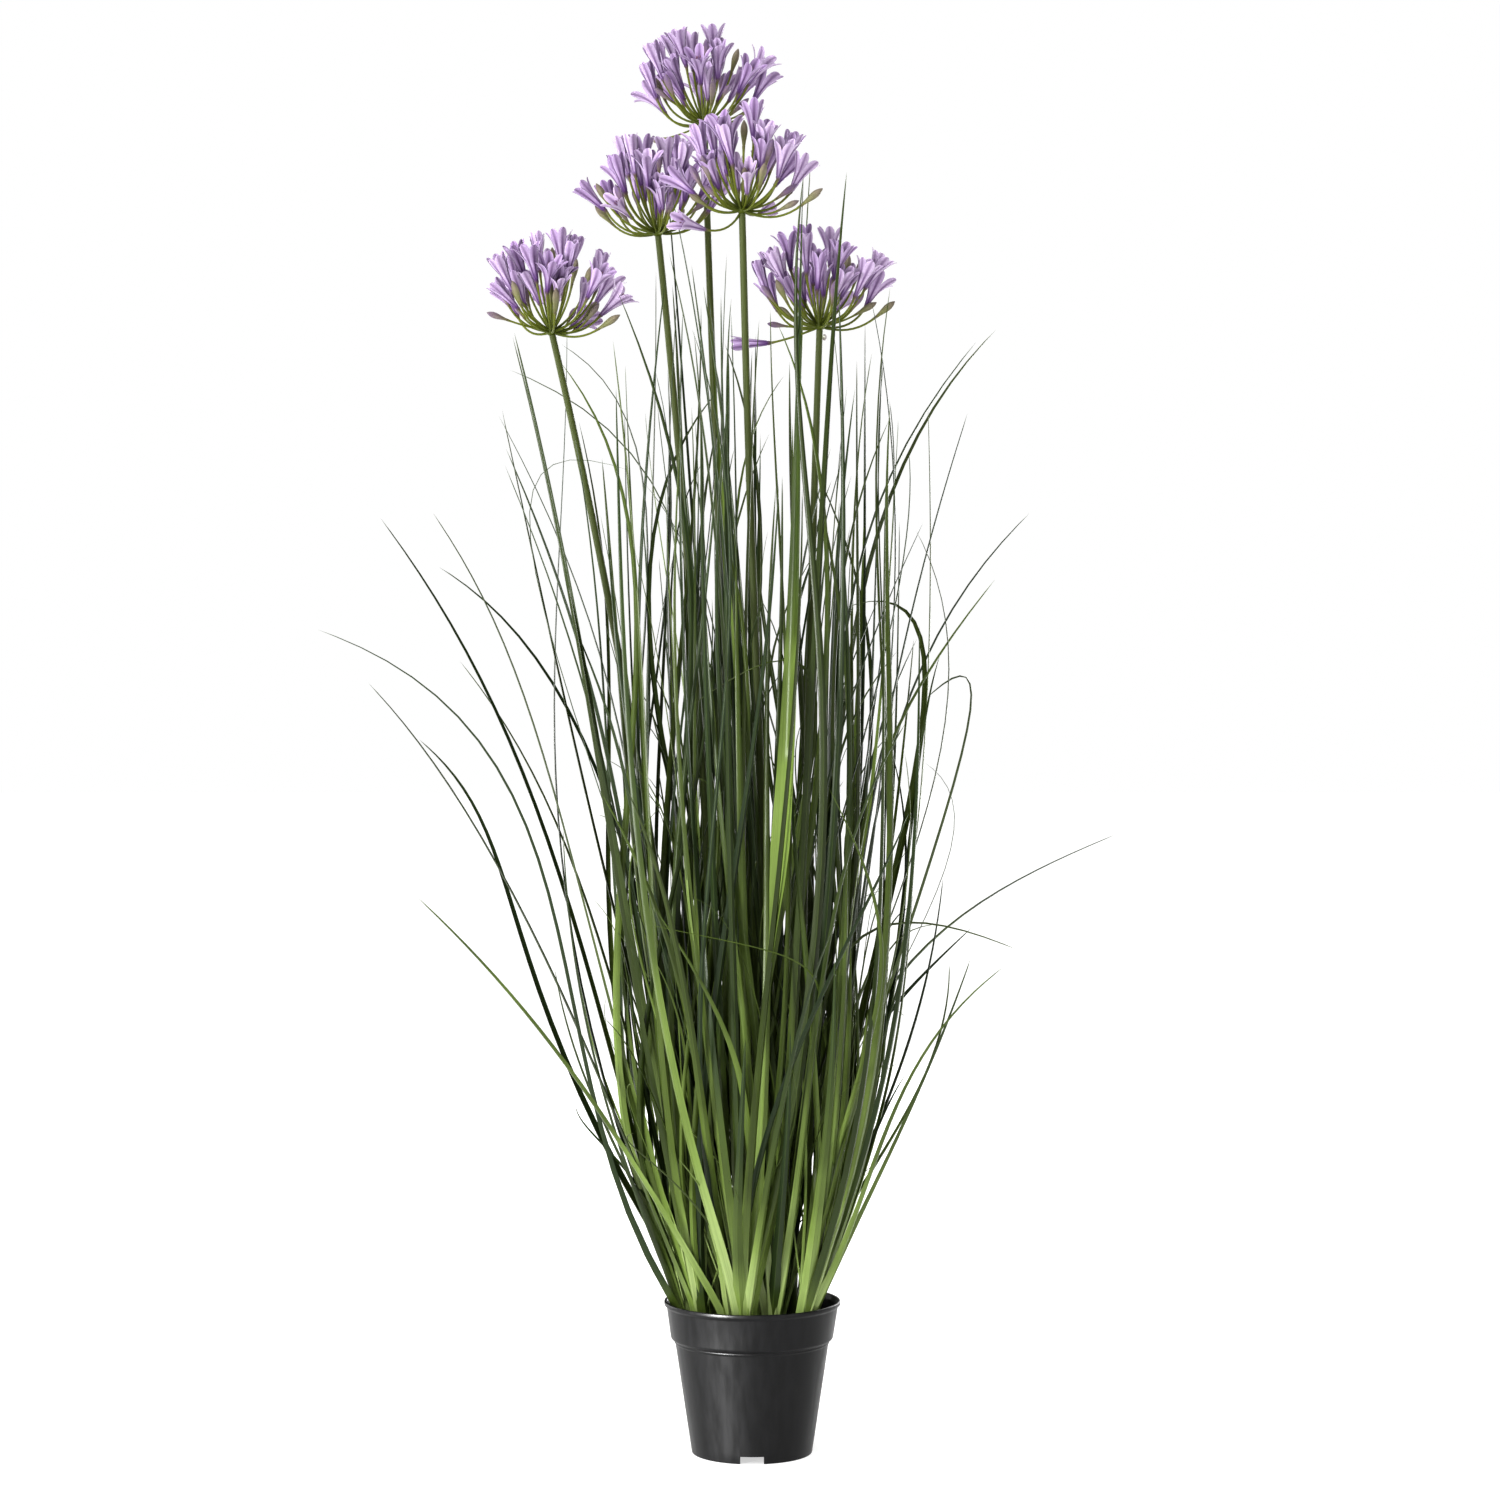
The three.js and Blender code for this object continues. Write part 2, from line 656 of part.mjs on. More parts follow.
// A funnel of six petals that stand on one throat ring and meet at a point on its axis.
function addFloret(skin, stalk, base, way) {
  const throat = skin.ring(flowerRing(base, way, THROAT_RADIUS, THROAT_HEIGHT));
  widen(skin, stalk, throat);
  const [heart] = skin.ring([base.clone().addScaledVector(way, THROAT_HEIGHT - 2)]);
  const tips = skin.ring(flowerRing(base, way, TIP_RADIUS, TIP_HEIGHT, 0.5));
  const spread = (PETALS / (2 * Math.PI)) * Math.asin(PETAL_HALF_WIDTH / PETAL_RADIUS);
  const chordRadius = Math.sqrt(PETAL_RADIUS ** 2 - PETAL_HALF_WIDTH ** 2);
  const inner = skin.ring(flowerRing(base, way, chordRadius - PETAL_THICKNESS, PETAL_HEIGHT, 0.5));
  const lefts = skin.ring(flowerRing(base, way, PETAL_RADIUS, PETAL_HEIGHT, 0.5 - spread));
  const rights = skin.ring(flowerRing(base, way, PETAL_RADIUS, PETAL_HEIGHT, 0.5 + spread));
  throat.forEach((a, k) => {
    const b = throat[(k + 1) % PETALS];
    const [left, right, tip, keel] = [lefts[k], rights[k], tips[k], inner[k]];
    skin.triangles.push(a, b, right, a, right, left, left, right, tip);
    skin.triangles.push(a, left, keel, left, tip, keel, tip, right, keel, right, b, keel);
    skin.triangles.push(keel, b, heart, keel, heart, a);
  });
}

function addBud(skin, stalk, base, way) {
  const belly = skin.ring(flowerRing(base, way, BUD_RADIUS, BUD_BELLY));
  widen(skin, stalk, belly);
  skin.tip(belly, base.clone().addScaledVector(way, BUD_LENGTH));
}

// A stalk that curves up out of the hub, with a flower or a bud at its end.
function pedicelSolid(center, azimuth, rootRise, topRise, length, isBud) {
  const rootWay = heading(azimuth, Math.PI / 2 - rootRise);
  const topWay = heading(azimuth, Math.PI / 2 - topRise);
  const start = center.clone().addScaledVector(rootWay, 0.75 * HUB_RADIUS);
  const middle = start.clone().addScaledVector(rootWay, length / 2);
  const end = middle.clone().addScaledVector(topWay, length / 2);
  const curve = new THREE.QuadraticBezierCurve3(start, middle, end);
  const skin = new Skin();
  const stations = topRise - rootRise > STRAIGHT_BEND ? [0, 0.5, 1] : [0, 1];
  const rings = stations.map((t) => skin.ring(polygon(curve.getPoint(t), curve.getTangent(t), PEDICEL_RADIUS, 3)));
  skin.cap(rings[0]);
  for (let i = 1; i < rings.length; i++) skin.band(rings[i - 1], rings[i]);
  const add = isBud ? addBud : addFloret;
  add(skin, rings[rings.length - 1], end, curve.getTangent(1));
  return skin.solid();
}

function hubSolid(hub, topWay) {
  const at = (height) => hub.clone().addScaledVector(topWay, height);
  const knob = loft([
    polygon(at(SEAT_GAP), topWay, SCAPE_TOP_RADIUS, SCAPE_SIDES),
    polygon(at(0.45 * HUB_HEIGHT), topWay, HUB_RADIUS, SCAPE_SIDES),
    polygon(at(HUB_HEIGHT), topWay, 0.6 * HUB_RADIUS, SCAPE_SIDES),
  ]);
  return knob.add(rod(at(-PEG_LENGTH), at(1), PEG_RADIUS, PEG_RADIUS, SCAPE_SIDES));
}

function headSolid({ hub, topWay }, seed) {
  const draw = new Draw(seed);
  const center = hub.clone().addScaledVector(topWay, 0.45 * HUB_HEIGHT);
  const turn = draw.between(0, 2 * Math.PI);
  let shape = hubSolid(hub, topWay);
  for (let k = 0; k < PEDICELS; k++) {
    const share = (k + 0.5) / PEDICELS;
    const rootRise = Math.asin(lerp(Math.sin(HIGHEST_PEDICEL), Math.sin(LOWEST_PEDICEL), share));
    const topRise = Math.PI / 2 - (Math.PI / 2 - rootRise) * (PEDICEL_RISE + draw.between(-0.06, 0.08));
    const isBud = k % BUD_EVERY === 2;
    const length = (isBud ? BUD_PEDICEL_LENGTH : PEDICEL_LENGTH) + draw.between(-5, 5);
    const azimuth = turn + k * GOLDEN_ANGLE + draw.between(-0.12, 0.12);
    shape = shape.add(pedicelSolid(center, azimuth, rootRise, topRise, length, isBud));
  }
  return shape;
}

// ---- The part ----

place('pot', potSolid(), POT_PLASTIC);
place('pot_fill', fillSolid(), FILL_STONE);
scapes.forEach((scape, i) => {
  place(`flower_stem_${i + 1}`, scapeSolid(scape), SCAPE_GREEN);
  place(`flower_head_${i + 1}`, headSolid(scape, 300 + 31 * i), PETAL_LILAC);
});
tufts.forEach((tuft, i) => {
  place(`leaf_tuft_${String(i + 1).padStart(2, '0')}`, tuftSolid(tuft), LEAF_GREEN);
});

export default part;
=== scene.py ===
"""The looks of a potted agapanthus: leaf blades, scapes, umbels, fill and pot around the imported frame.

The layout rule is the one of the part's source, in millimetres. MM turns it into Blender's metres.
"""

import math

import bpy
import numpy as np
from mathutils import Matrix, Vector, noise


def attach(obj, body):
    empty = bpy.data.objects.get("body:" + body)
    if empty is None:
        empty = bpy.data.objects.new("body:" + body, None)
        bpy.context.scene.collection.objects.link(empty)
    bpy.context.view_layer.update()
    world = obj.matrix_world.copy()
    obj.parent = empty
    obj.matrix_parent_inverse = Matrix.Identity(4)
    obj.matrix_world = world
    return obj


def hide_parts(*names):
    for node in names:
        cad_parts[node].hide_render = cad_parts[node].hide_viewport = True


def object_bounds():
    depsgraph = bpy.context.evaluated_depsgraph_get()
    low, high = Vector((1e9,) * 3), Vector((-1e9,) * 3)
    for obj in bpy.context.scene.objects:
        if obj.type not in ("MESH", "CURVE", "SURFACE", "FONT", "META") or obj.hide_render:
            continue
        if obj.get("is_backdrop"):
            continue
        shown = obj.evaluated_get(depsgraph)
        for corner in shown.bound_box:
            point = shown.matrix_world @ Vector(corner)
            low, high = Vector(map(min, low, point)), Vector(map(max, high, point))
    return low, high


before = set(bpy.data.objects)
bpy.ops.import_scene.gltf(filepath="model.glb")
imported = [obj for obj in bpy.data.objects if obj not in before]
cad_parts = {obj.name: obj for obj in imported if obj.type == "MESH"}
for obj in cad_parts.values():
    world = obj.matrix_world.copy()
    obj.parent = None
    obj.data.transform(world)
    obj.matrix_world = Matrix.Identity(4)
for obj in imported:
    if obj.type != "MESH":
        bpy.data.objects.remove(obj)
cad_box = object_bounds()

MM = 0.001
DEGREE = math.pi / 180

# ---- Driving dimensions, as in the part's source ----

POT_HEIGHT = 127
FOOT_RADIUS = 50.5
BODY_HEIGHT = 94
BODY_RADIUS = 64.7
STEP_HEIGHT = 97
STEP_RADIUS = 68.2
COLLAR_HEIGHT = 122
COLLAR_RADIUS = 71.9
LIP_UNDERSIDE = 124
LIP_RADIUS = 74
LIP_WIDTH = 2.6
WALL = 2
BASE_UNDERSIDE = 7
BASE_TOP = 9
NOTCH_WIDTH = 20
NOTCH_HEIGHT = 6.5
NOTCH_AZIMUTHS = (-90, 30, 150)

FILL_TOP = 103
ROOT_DEPTH = 30
SEAT_GAP = 0.35

GOLDEN_ANGLE = 137.5
SPOTS = 19
SPOT_REACH = 52

SCAPE_RADIUS = 3.7
SCAPE_TOP_RADIUS = 2.8
SCAPE_PULL = 0.36
PEG_LENGTH = 8

# Each scape: its spot, its flower head's hub, its lean at root and top.
SCAPES = (
    (4, (-167, -10, 936), 7, 13),
    (1, (-79, 10, 1022), 4, 6),
    (6, (-41, 75, 1127), 1, 3),
    (5, (-8, -85, 1025), 3, 3),
    (8, (57, 10, 943), 2, 2),
)

PEDICELS = 24
BUD_EVERY = 3
HIGHEST_PEDICEL = 86
LOWEST_PEDICEL = -14
PEDICEL_LENGTH = 48
BUD_PEDICEL_LENGTH = 44
PEDICEL_RADIUS = 1
PEDICEL_RISE = 0.34
PEDICEL_STRAY = 0.12 / DEGREE
HUB_RADIUS = 5.2
HUB_HEIGHT = 7

PETALS = 6
TIP_RADIUS = 9
BUD_LENGTH = 21

SHEATH_RADIUS = 5.2
SHEATH_TOP_RADIUS = 3.6
SHEATH_RISE = 50
SHEATH_POINT = 14
LOWEST_BLADE = 5
HIGHEST_BLADE = 44
ROOT_OFFSET = 1.2
BLADES_PER_TUFT = 10
LONG_WIDTHS = (6.2, 8)
BUNCH_WIDTHS = (6.4, 8.4)
ROOT_WIDTH_SHARE = 0.4
WIDTH_TAPER = 0.55
FIRST_STATION = 0.08
CLEARANCE = 0.8

# Blades that arch out of the bunch: spot, tip, lean at root, turn of the root from the tip's
# direction, azimuth and lean at the tip, and how far the curve holds each end's direction.
LONG_BLADES = (
    (17, (-339, -190, 683), 36, -12, 180, 71, 0.4, 0.4),
    (12, (-315, -60, 644), 24, 0, 180, 44, 0.3, 0.3),
    (17, (-317, 40, 787), 17, 9, 180, 37, 0.4, 0.35),
    (12, (-257, -110, 780), 19, -40, 180, 35, 0.55, 0.25),
    (14, (-272, 90, 748), 12, 0, 180, 59, 0.35, 0.3),
    (9, (-286, 60, 598), 34, 20, 180, 50, 0.65, 0.25),
    (7, (-265, -150, 472), 31, -8, 180, 47, 0.35, 0.35),
    (14, (-213, 120, 923), 24, 0, 180, 69, 0.35, 0.4),
    (9, (-165, 80, 940), 29, 10, 180, 60, 0.45, 0.25),
    (17, (-218, 60, 877), 9, -4, 180, 29, 0.4, 0.4),
    (12, (-203, -60, 823), 12, 0, 180, 23, 0.4, 0.4),
    (12, (-194, -95, 924), 11, 0, 180, 15, 0.45, 0.3),
    (9, (-111, -60, 967), 10, 0, 180, 23, 0.55, 0.4),
    (14, (-255, 100, 667), 25, 0, 170, 40, 0.35, 0.35),
    (7, (-210, 0, 875), 18, 0, 180, 12, 0.35, 0.35),
    (16, (334, 240, 512), 28, 45, 0, 68, 0.55, 0.35),
    (18, (218, -60, 425), 7, -36, 0, 113, 0.65, 0.6),
    (16, (239, 60, 793), 15, 11, 0, 46, 0.4, 0.35),
    (13, (201, -40, 730), 9, 0, 0, 39, 0.55, 0.4),
    (3, (212, 90, 954), 20, 30, 0, 45, 0.45, 0.3),
    (18, (175, -90, 863), 9, -27, 0, 18, 0.45, 0.3),
    (13, (188, -10, 931), 15, 0, 0, 40, 0.4, 0.4),
    (16, (144, -30, 631), 13, -14, 180, 134, 0.45, 0.3),
    (13, (79, 40, 710), 12, 14, 180, 110, 0.4, 0.3),
    (10, (-50, -120, 624), 24, -20, 180, 126, 0.5, 0.55),
    (18, (197, -170, 418), 33, 28, 0, 53, 0.35, 0.35),
    (13, (177, -90, 419), 27, 8, 0, 19, 0.4, 0.3),
    (16, (193, 120, 433), 18, 0, 0, 47, 0.6, 0.5),
    (10, (76, -120, 1053), 14, -20, 0, 6, 0.55, 0.2),
    (15, (41, -150, 1047), 19, 20, 0, 7, 0.6, 0.3),
    (3, (51, 90, 1101), 12, 0, 0, 4, 0.25, 0.3),
    (2, (-66, -110, 1042), 13, -6, 180, 13, 0.2, 0.4),
    (0, (-77, 100, 1120), 5, 0, 180, 5, 0.35, 0.35),
    (15, (60, -290, 455), 26, 0, -80, 64, 0.4, 0.35),
    (7, (-95, -262, 560), 24, 0, -110, 50, 0.4, 0.35),
    (15, (-20, -236, 690), 20, 0, -90, 42, 0.4, 0.35),
    (10, (118, -228, 610), 22, 0, -60, 50, 0.4, 0.35),
    (11, (30, 290, 560), 26, 0, 85, 60, 0.4, 0.35),
    (14, (-125, 268, 480), 26, 0, 115, 55, 0.4, 0.35),
    (11, (70, 232, 790), 20, 0, 80, 38, 0.4, 0.35),
    (7, (-40, -205, 850), 14, 0, -90, 22, 0.4, 0.35),
    (14, (-60, 226, 830), 17, 0, 100, 30, 0.4, 0.35),
    (16, (150, 215, 690), 22, 0, 55, 44, 0.4, 0.35),
)

# ---- Curves and draws ----


def vec(x, y, z):
    return np.array((x, y, z), float)


UP = vec(0, 0, 1)


def unit(v):
    return v / np.linalg.norm(v, axis=-1, keepdims=True)


def lerp(a, b, t):
    return a + (b - a) * t


def ease(t):
    """0 to 1 with a level start and end."""
    t = np.clip(t, 0, 1)
    return t * t * (3 - 2 * t)


def around(radius, azimuth, height=0):
    """The point at a radius, an azimuth in degrees and a height round the plant's middle line."""
    angle = azimuth * DEGREE
    return vec(radius * math.cos(angle), radius * math.sin(angle), height)


def heading(azimuth, lean):
    """The direction at an azimuth that leans so far from upright, both in degrees."""
    return around(math.sin(lean * DEGREE), azimuth, math.cos(lean * DEGREE))


def bearing(v):
    """The azimuth of a direction, in degrees."""
    return math.atan2(v[1], v[0]) / DEGREE


def cubic(poles, t):
    t = np.asarray(t, float)[..., None]
    a, b, c, d = poles
    return (1 - t) ** 3 * a + 3 * (1 - t) ** 2 * t * b + 3 * (1 - t) * t**2 * c + t**3 * d


class Bend:
    """A cubic curve with a given direction at its root and at its tip."""

    def __init__(self, root, root_way, tip, tip_way, root_pull, tip_pull):
        reach = np.linalg.norm(tip - root)
        self.root_way, self.tip_way = root_way, tip_way
        self.poles = (root, root + root_way * reach * root_pull, tip - tip_way * reach * tip_pull, tip)

    def at(self, t):
        return cubic(self.poles, t)

    def way(self, t):
        t = np.asarray(t, float)[..., None]
        a, b, c, d = self.poles
        return unit((1 - t) ** 2 * (b - a) + 2 * (1 - t) * t * (c - b) + t**2 * (d - c))


class Draw:
    """Park and Miller's generator, as in the part's source. A call draws between two bounds."""

    FACTOR = 16807
    MODULUS = 2**31 - 1

    def __init__(self, seed):
        self.state = seed

    def __call__(self, low=0, high=1):
        self.state = self.state * self.FACTOR % self.MODULUS
        return low + (high - low) * (self.state / self.MODULUS)


def turns(count):
    """Angles evenly round a circle."""
    return np.arange(count) * 2 * math.pi / count


def strayed(azimuth, most, draw):
    """An azimuth up to so many degrees to either side of the one given."""
    return azimuth + draw(-most, most)


# ---- Where the roots stand ----


class Tuft:
    def __init__(self, spot):
        radius = SPOT_REACH * math.sqrt((spot + 0.5) / SPOTS)
        self.spot = spot
        self.azimuth = spot * GOLDEN_ANGLE
        self.edge = radius / SPOT_REACH
        self.surface = around(radius, self.azimuth, FILL_TOP)
        self.way = heading(self.azimuth, 2 + 17 * self.edge)
        self.blades = []

    def root(self, rise, azimuth):
        return self.surface + self.way * rise + around(ROOT_OFFSET, azimuth)

    def drawn_root(self, azimuth, draw):
        return self.root(draw(LOWEST_BLADE, HIGHEST_BLADE), azimuth)


class Scape:
    def __init__(self, spot, hub, root_lean, top_lean):
        self.spot = spot
        self.hub = vec(*hub)
        root = Tuft(spot).surface - UP * ROOT_DEPTH
        azimuth = bearing(self.hub - root)
        self.top_way = heading(azimuth, top_lean)
        root_way = heading(azimuth, root_lean)
        self.curve = Bend(root, root_way, self.hub, self.top_way, SCAPE_PULL, SCAPE_PULL)


scapes = [Scape(*row) for row in SCAPES]
tufts = [Tuft(n) for n in range(SPOTS) if n not in [scape.spot for scape in scapes]]

# ---- Blades that keep clear of each other, by the rule of the part's source ----

# A chord is a row: its ends, its half-widths there, its way from the root, its length, its owner.
START, END, HALVES, ALONG, LENGTH, OWNER = slice(0, 3), slice(3, 6), slice(6, 8), 8, 9, 10
OWN_FROM = 30
OWN_SHARE = 0.8
HEAD_CENTER = 42
HEAD_ROOM = 63
RIM_ROOM = 69.5
RIM_ZONE = 130
TRIES = 120
STRAY_STEP = 0.6
LARGEST_STRAY = 14


def chords_of(points, halves, owner):
    lengths = np.linalg.norm(np.diff(points, axis=0), axis=1)
    along = np.concatenate([[0], np.cumsum(lengths)[:-1]])
    owners = np.full(len(lengths), owner)
    return np.column_stack([points[:-1], points[1:], halves[:-1], halves[1:], along, lengths, owners])


def closest(one, others):
    """Shares of the way along one chord and along each of the others at which they come closest."""
    d1 = one[END] - one[START]
    d2 = others[:, END] - others[:, START]
    w = one[START] - others[:, START]
    a, b, c, e, f = d1 @ d1, d2 @ d1, w @ d1, (d2 * d2).sum(1), (d2 * w).sum(1)
    square = a * e - b * b
    u = np.where(square > 1e-9, np.clip((b * f - c * e) / np.maximum(square, 1e-9), 0, 1), 0)
    v = (b * u + f) / e
    u = np.where(v < 0, np.clip(-c / a, 0, 1), u)
    u = np.where(v > 1, np.clip((b - c) / a, 0, 1), u)
    return u, np.clip(v, 0, 1)


def at_share(chords, share):
    return chords[..., START] + (chords[..., END] - chords[..., START]) * share[:, None]


def half_at(chords, share):
    low, high = chords[..., HALVES].T
    return lerp(low, high, share)


def touches(chord, others):
    """Does the chord come too close to any of the others?"""
    room = chord[HALVES].max() + others[:, HALVES].max(axis=1) + CLEARANCE
    low = np.minimum(others[:, START], others[:, END])
    high = np.maximum(others[:, START], others[:, END])
    apart = np.maximum(
        np.minimum(chord[START], chord[END]) - high,
        low - np.maximum(chord[START], chord[END]),
    ).max(axis=1) > room
    near = others[~apart]
    if not len(near):
        return False
    u, v = closest(chord, near)
    need = half_at(chord, u) + half_at(near, v) + CLEARANCE
    own = near[:, OWNER] == chord[OWNER]
    low_down = chord[ALONG] + u * chord[LENGTH] < OWN_FROM
    low_down |= near[:, ALONG] + v * near[:, LENGTH] < OWN_FROM
    need = np.where(own, np.where(low_down, 0, need * OWN_SHARE), need)
    gap = np.linalg.norm(at_share(chord, u) - at_share(near, v), axis=1)
    return bool((gap < need).any())


head_centers = [scape.hub + UP * HEAD_CENTER for scape in scapes]


def clear_of_heads(chord):
    for center in head_centers:
        axis = np.concatenate([center, center + UP])[None]
        u, _ = closest(chord, axis)
        if np.linalg.norm(at_share(chord, u)[0] - center) <= HEAD_ROOM:
            return False
    return True


def clear_of_rim(chord):
    x, y, z = chord[START]
    return z > RIM_ZONE or math.hypot(x, y) + chord[HALVES][0] < RIM_ROOM


SCAPE_POINTS = 7

standing = []
for scape in scapes:
    scape_points = scape.curve.at(np.linspace(0, 1, SCAPE_POINTS))
    standing.append(chords_of(scape_points, np.full(SCAPE_POINTS, SCAPE_RADIUS), scape.spot))
for tuft in tufts:
    sheath_ends = np.array([tuft.surface, tuft.surface + tuft.way * SHEATH_RISE])
    standing.append(chords_of(sheath_ends, np.array([SHEATH_RADIUS, SHEATH_TOP_RADIUS]), tuft.spot))


class Blade:
    def __init__(self, curve, width, twist):
        self.curve, self.width, self.twist = curve, width, twist

    def chords(self, owner):
        """The blade's outline in the part's source: the more it turns, the more chords."""
        cosine = float(np.clip(self.curve.root_way @ self.curve.tip_way, -1, 1))
        turn = math.acos(cosine) / DEGREE
        spans = 8 if turn > 90 else 6 if turn > 50 else 5
        rest = FIRST_STATION + (1 - FIRST_STATION) * np.arange(spans) / (spans - 1)
        stations = np.concatenate([[0], rest])
        widths = self.width * (1 - stations).clip(0) ** WIDTH_TAPER
        widths[0] *= ROOT_WIDTH_SHARE
        return chords_of(self.curve.at(stations), widths / 2, owner)


def grow(tuft, seed, shape):
    """Draws shapes for a blade until one keeps clear of all that stands already."""
    draw = Draw(seed)
    others = np.concatenate(standing)
    for attempt in range(TRIES):
        blade = shape(draw, attempt)
        chords = blade.chords(tuft.spot)
        if all(clear_of_rim(c) and clear_of_heads(c) and not touches(c, others) for c in chords):
            standing.append(chords)
            tuft.blades.append(blade)
            return


def grow_long_blade(row, seed):
    spot, tip, root_lean, turn, tip_azimuth, tip_lean, root_pull, tip_pull = row
    tuft = next(each for each in tufts if each.spot == spot)
    tip = vec(*tip)

    def shape(draw, attempt):
        stray = min(STRAY_STEP * attempt, LARGEST_STRAY)
        rise = draw(LOWEST_BLADE, HIGHEST_BLADE)
        azimuth = bearing(tip - tuft.surface) + turn + stray * draw(-1, 1)
        root_way = heading(azimuth, root_lean + stray * draw(-1, 1))
        tip_way = heading(tip_azimuth, tip_lean)
        curve = Bend(tuft.root(rise, azimuth), root_way, tip, tip_way, root_pull, tip_pull)
        return Blade(curve, draw(*LONG_WIDTHS), draw(-40, 40))

    grow(tuft, seed, shape)


def bunch_blade(tuft, share, draw, widths):
    """One of the blades that make up the bunch: they lean out more the further out they root."""
    fan = 28 + 150 * (1 - tuft.edge)
    root_azimuth = tuft.azimuth + fan * (share + draw(-0.3, 0.3))
    root_lean = 3 + 22 * tuft.edge + draw(-7, 5)
    height = 230 + 640 * draw() ** 0.8
    tall = height / 870
    reach = (48 + 122 * tuft.edge) * draw(0.62, 1.16) * (0.9 + 0.12 * tall)
    tip_azimuth = strayed(root_azimuth, 14, draw)
    tip = around(reach, tip_azimuth, FILL_TOP + height)
    tip_lean = draw(-4, 8) + 46 * draw() ** 2 * (1.25 - tall)
    root_way = heading(root_azimuth, root_lean)
    tip_way = heading(strayed(tip_azimuth, 45, draw), tip_lean)
    root = tuft.drawn_root(root_azimuth, draw)
    pulls = draw(0.32, 0.42), draw(0.3, 0.42)
    curve = Bend(root, root_way, tip, tip_way, *pulls)
    return Blade(curve, draw(*widths), draw(-50, 50))


for i, row in enumerate(LONG_BLADES):
    grow_long_blade(row, 7000 + 13 * i)
for k, tuft in enumerate(tufts):
    count = BLADES_PER_TUFT - len(tuft.blades)
    for j in range(count):
        share = 2 * (j + 0.5) / count - 1
        seed = 1000 + 107 * k + 7 * j
        grow(tuft, seed, lambda draw, _: bunch_blade(tuft, share, draw, BUNCH_WIDTHS))

# ---- Skinned bodies ----


def stand(name, data):
    """A new object in the scene."""
    thing = bpy.data.objects.new(name, data)
    bpy.context.scene.collection.objects.link(thing)
    return thing


# What the materials read on each point: the way from the root, in metres or as a share of the
# whole in the flower heads; the way from the middle line, in millimetres or as a share; a number
# of its own for each blade or petal; which part or face it is; and how young the leaf is there.
CHANNELS = ("along", "across", "tone", "part", "fresh")
SHARP_FROM = 40 * DEGREE


class Shape:
    """Closed bodies, skinned over rings of points, that become one piece."""

    def __init__(self):
        self.points, self.faces = [], []
        self.values = {name: [] for name in CHANNELS}
        self.count = 0

    def skin(self, rings, start=None, end=None, **values):
        """Skins rings of points. Each end is closed flat, or by the point given."""
        rows, sides = rings.shape[:2]
        index = self.count + np.arange(rows * sides).reshape(rows, sides)
        near, far = index[:-1], index[1:]
        quads = np.stack([near, np.roll(near, -1, 1), np.roll(far, -1, 1), far], -1).reshape(-1, 4).tolist()
        points = [rings.reshape(-1, 3)]
        ends = []
        for point, ring, turned in ((start, index[0], True), (end, index[-1], False)):
            if point is None:
                ends.append(ring[::-1].tolist() if turned else ring.tolist())
                continue
            pole = self.count + rows * sides + len(points) - 1
            points.append(np.asarray(point, float)[None])
            pairs = zip(ring.tolist(), np.roll(ring, -1).tolist())
            ends += [[b, a, pole] if turned else [a, b, pole] for a, b in pairs]
        points = np.concatenate(points)
        faces = quads + ends
        if volume_of(points, faces, self.count) < 0:
            faces = [face[::-1] for face in faces]
        self.points.append(points * MM)
        self.faces += faces
        for name in CHANNELS:
            value = np.broadcast_to(np.asarray(values.get(name, 0), float), (rows, sides))
            ring_ends = [value[0].mean()] * (start is not None) + [value[-1].mean()] * (end is not None)
            self.values[name].append(np.concatenate([value.ravel(), ring_ends]))
        self.count += len(points)

    def piece(self, name, material, node, slot):
        mesh = bpy.data.meshes.new(name)
        mesh.from_pydata(np.concatenate(self.points).tolist(), [], self.faces)
        for channel, parts in self.values.items():
            attribute = mesh.attributes.new(channel, "FLOAT", "POINT")
            attribute.data.foreach_set("value", np.concatenate(parts).astype(np.float32))
        mesh.shade_smooth()
        mesh.set_sharp_from_angle(angle=SHARP_FROM)
        mesh.materials.append(material)
        piece = stand(name, mesh)
        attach(piece, "root")
        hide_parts(node)
        return piece


def volume_of(points, faces, first):
    """Six times the signed volume of a closed body."""
    fans = [(face[0], face[i - 1], face[i]) for face in faces for i in range(2, len(face))]
    corners = points[np.array(fans) - first]
    return np.einsum("ij,ij->", corners[:, 0], np.cross(corners[:, 1], corners[:, 2]))


def circle(centers, ways, radii, sides):
    """Rings round the centres, square to the ways. The radii are one, or one a ring, or one a point."""
    u = unit(np.stack([-ways[:, 1], ways[:, 0], np.full(len(ways), 1e-9)], -1))
    v = np.cross(ways, u)
    angles = turns(sides)[:, None]
    out = u[:, None] * np.cos(angles) + v[:, None] * np.sin(angles)
    radii = np.asarray(radii, float)
    if radii.ndim == 1:
        radii = radii[:, None]
    return centers[:, None] + out * np.broadcast_to(radii, out.shape[:2])[..., None]


def rod(start, way, heights, radii, sides):
    """Rings round a straight line that leaves its start along its way."""
    centers = start + way * np.asarray(heights, float)[:, None]
    return circle(centers, np.tile(way, (len(centers), 1)), radii, sides)


def lengths_along(points):
    steps = np.linalg.norm(np.diff(points, axis=0), axis=1)
    return np.concatenate([[0], np.cumsum(steps)])


# Round a blade's or petal's section: over the groove from one edge to the other, and back.
SECTION_ACROSS = np.array([1, 0.55, 0, -0.55, -1, -0.55, 0, 0.55])
SECTION_SUNK = np.array([0, 0.52, 1, 0.52, 0, 0.52, 1, 0.52])
SECTION_BACK = np.array([0, 0, 0, 0, 0, 1, 1, 1])


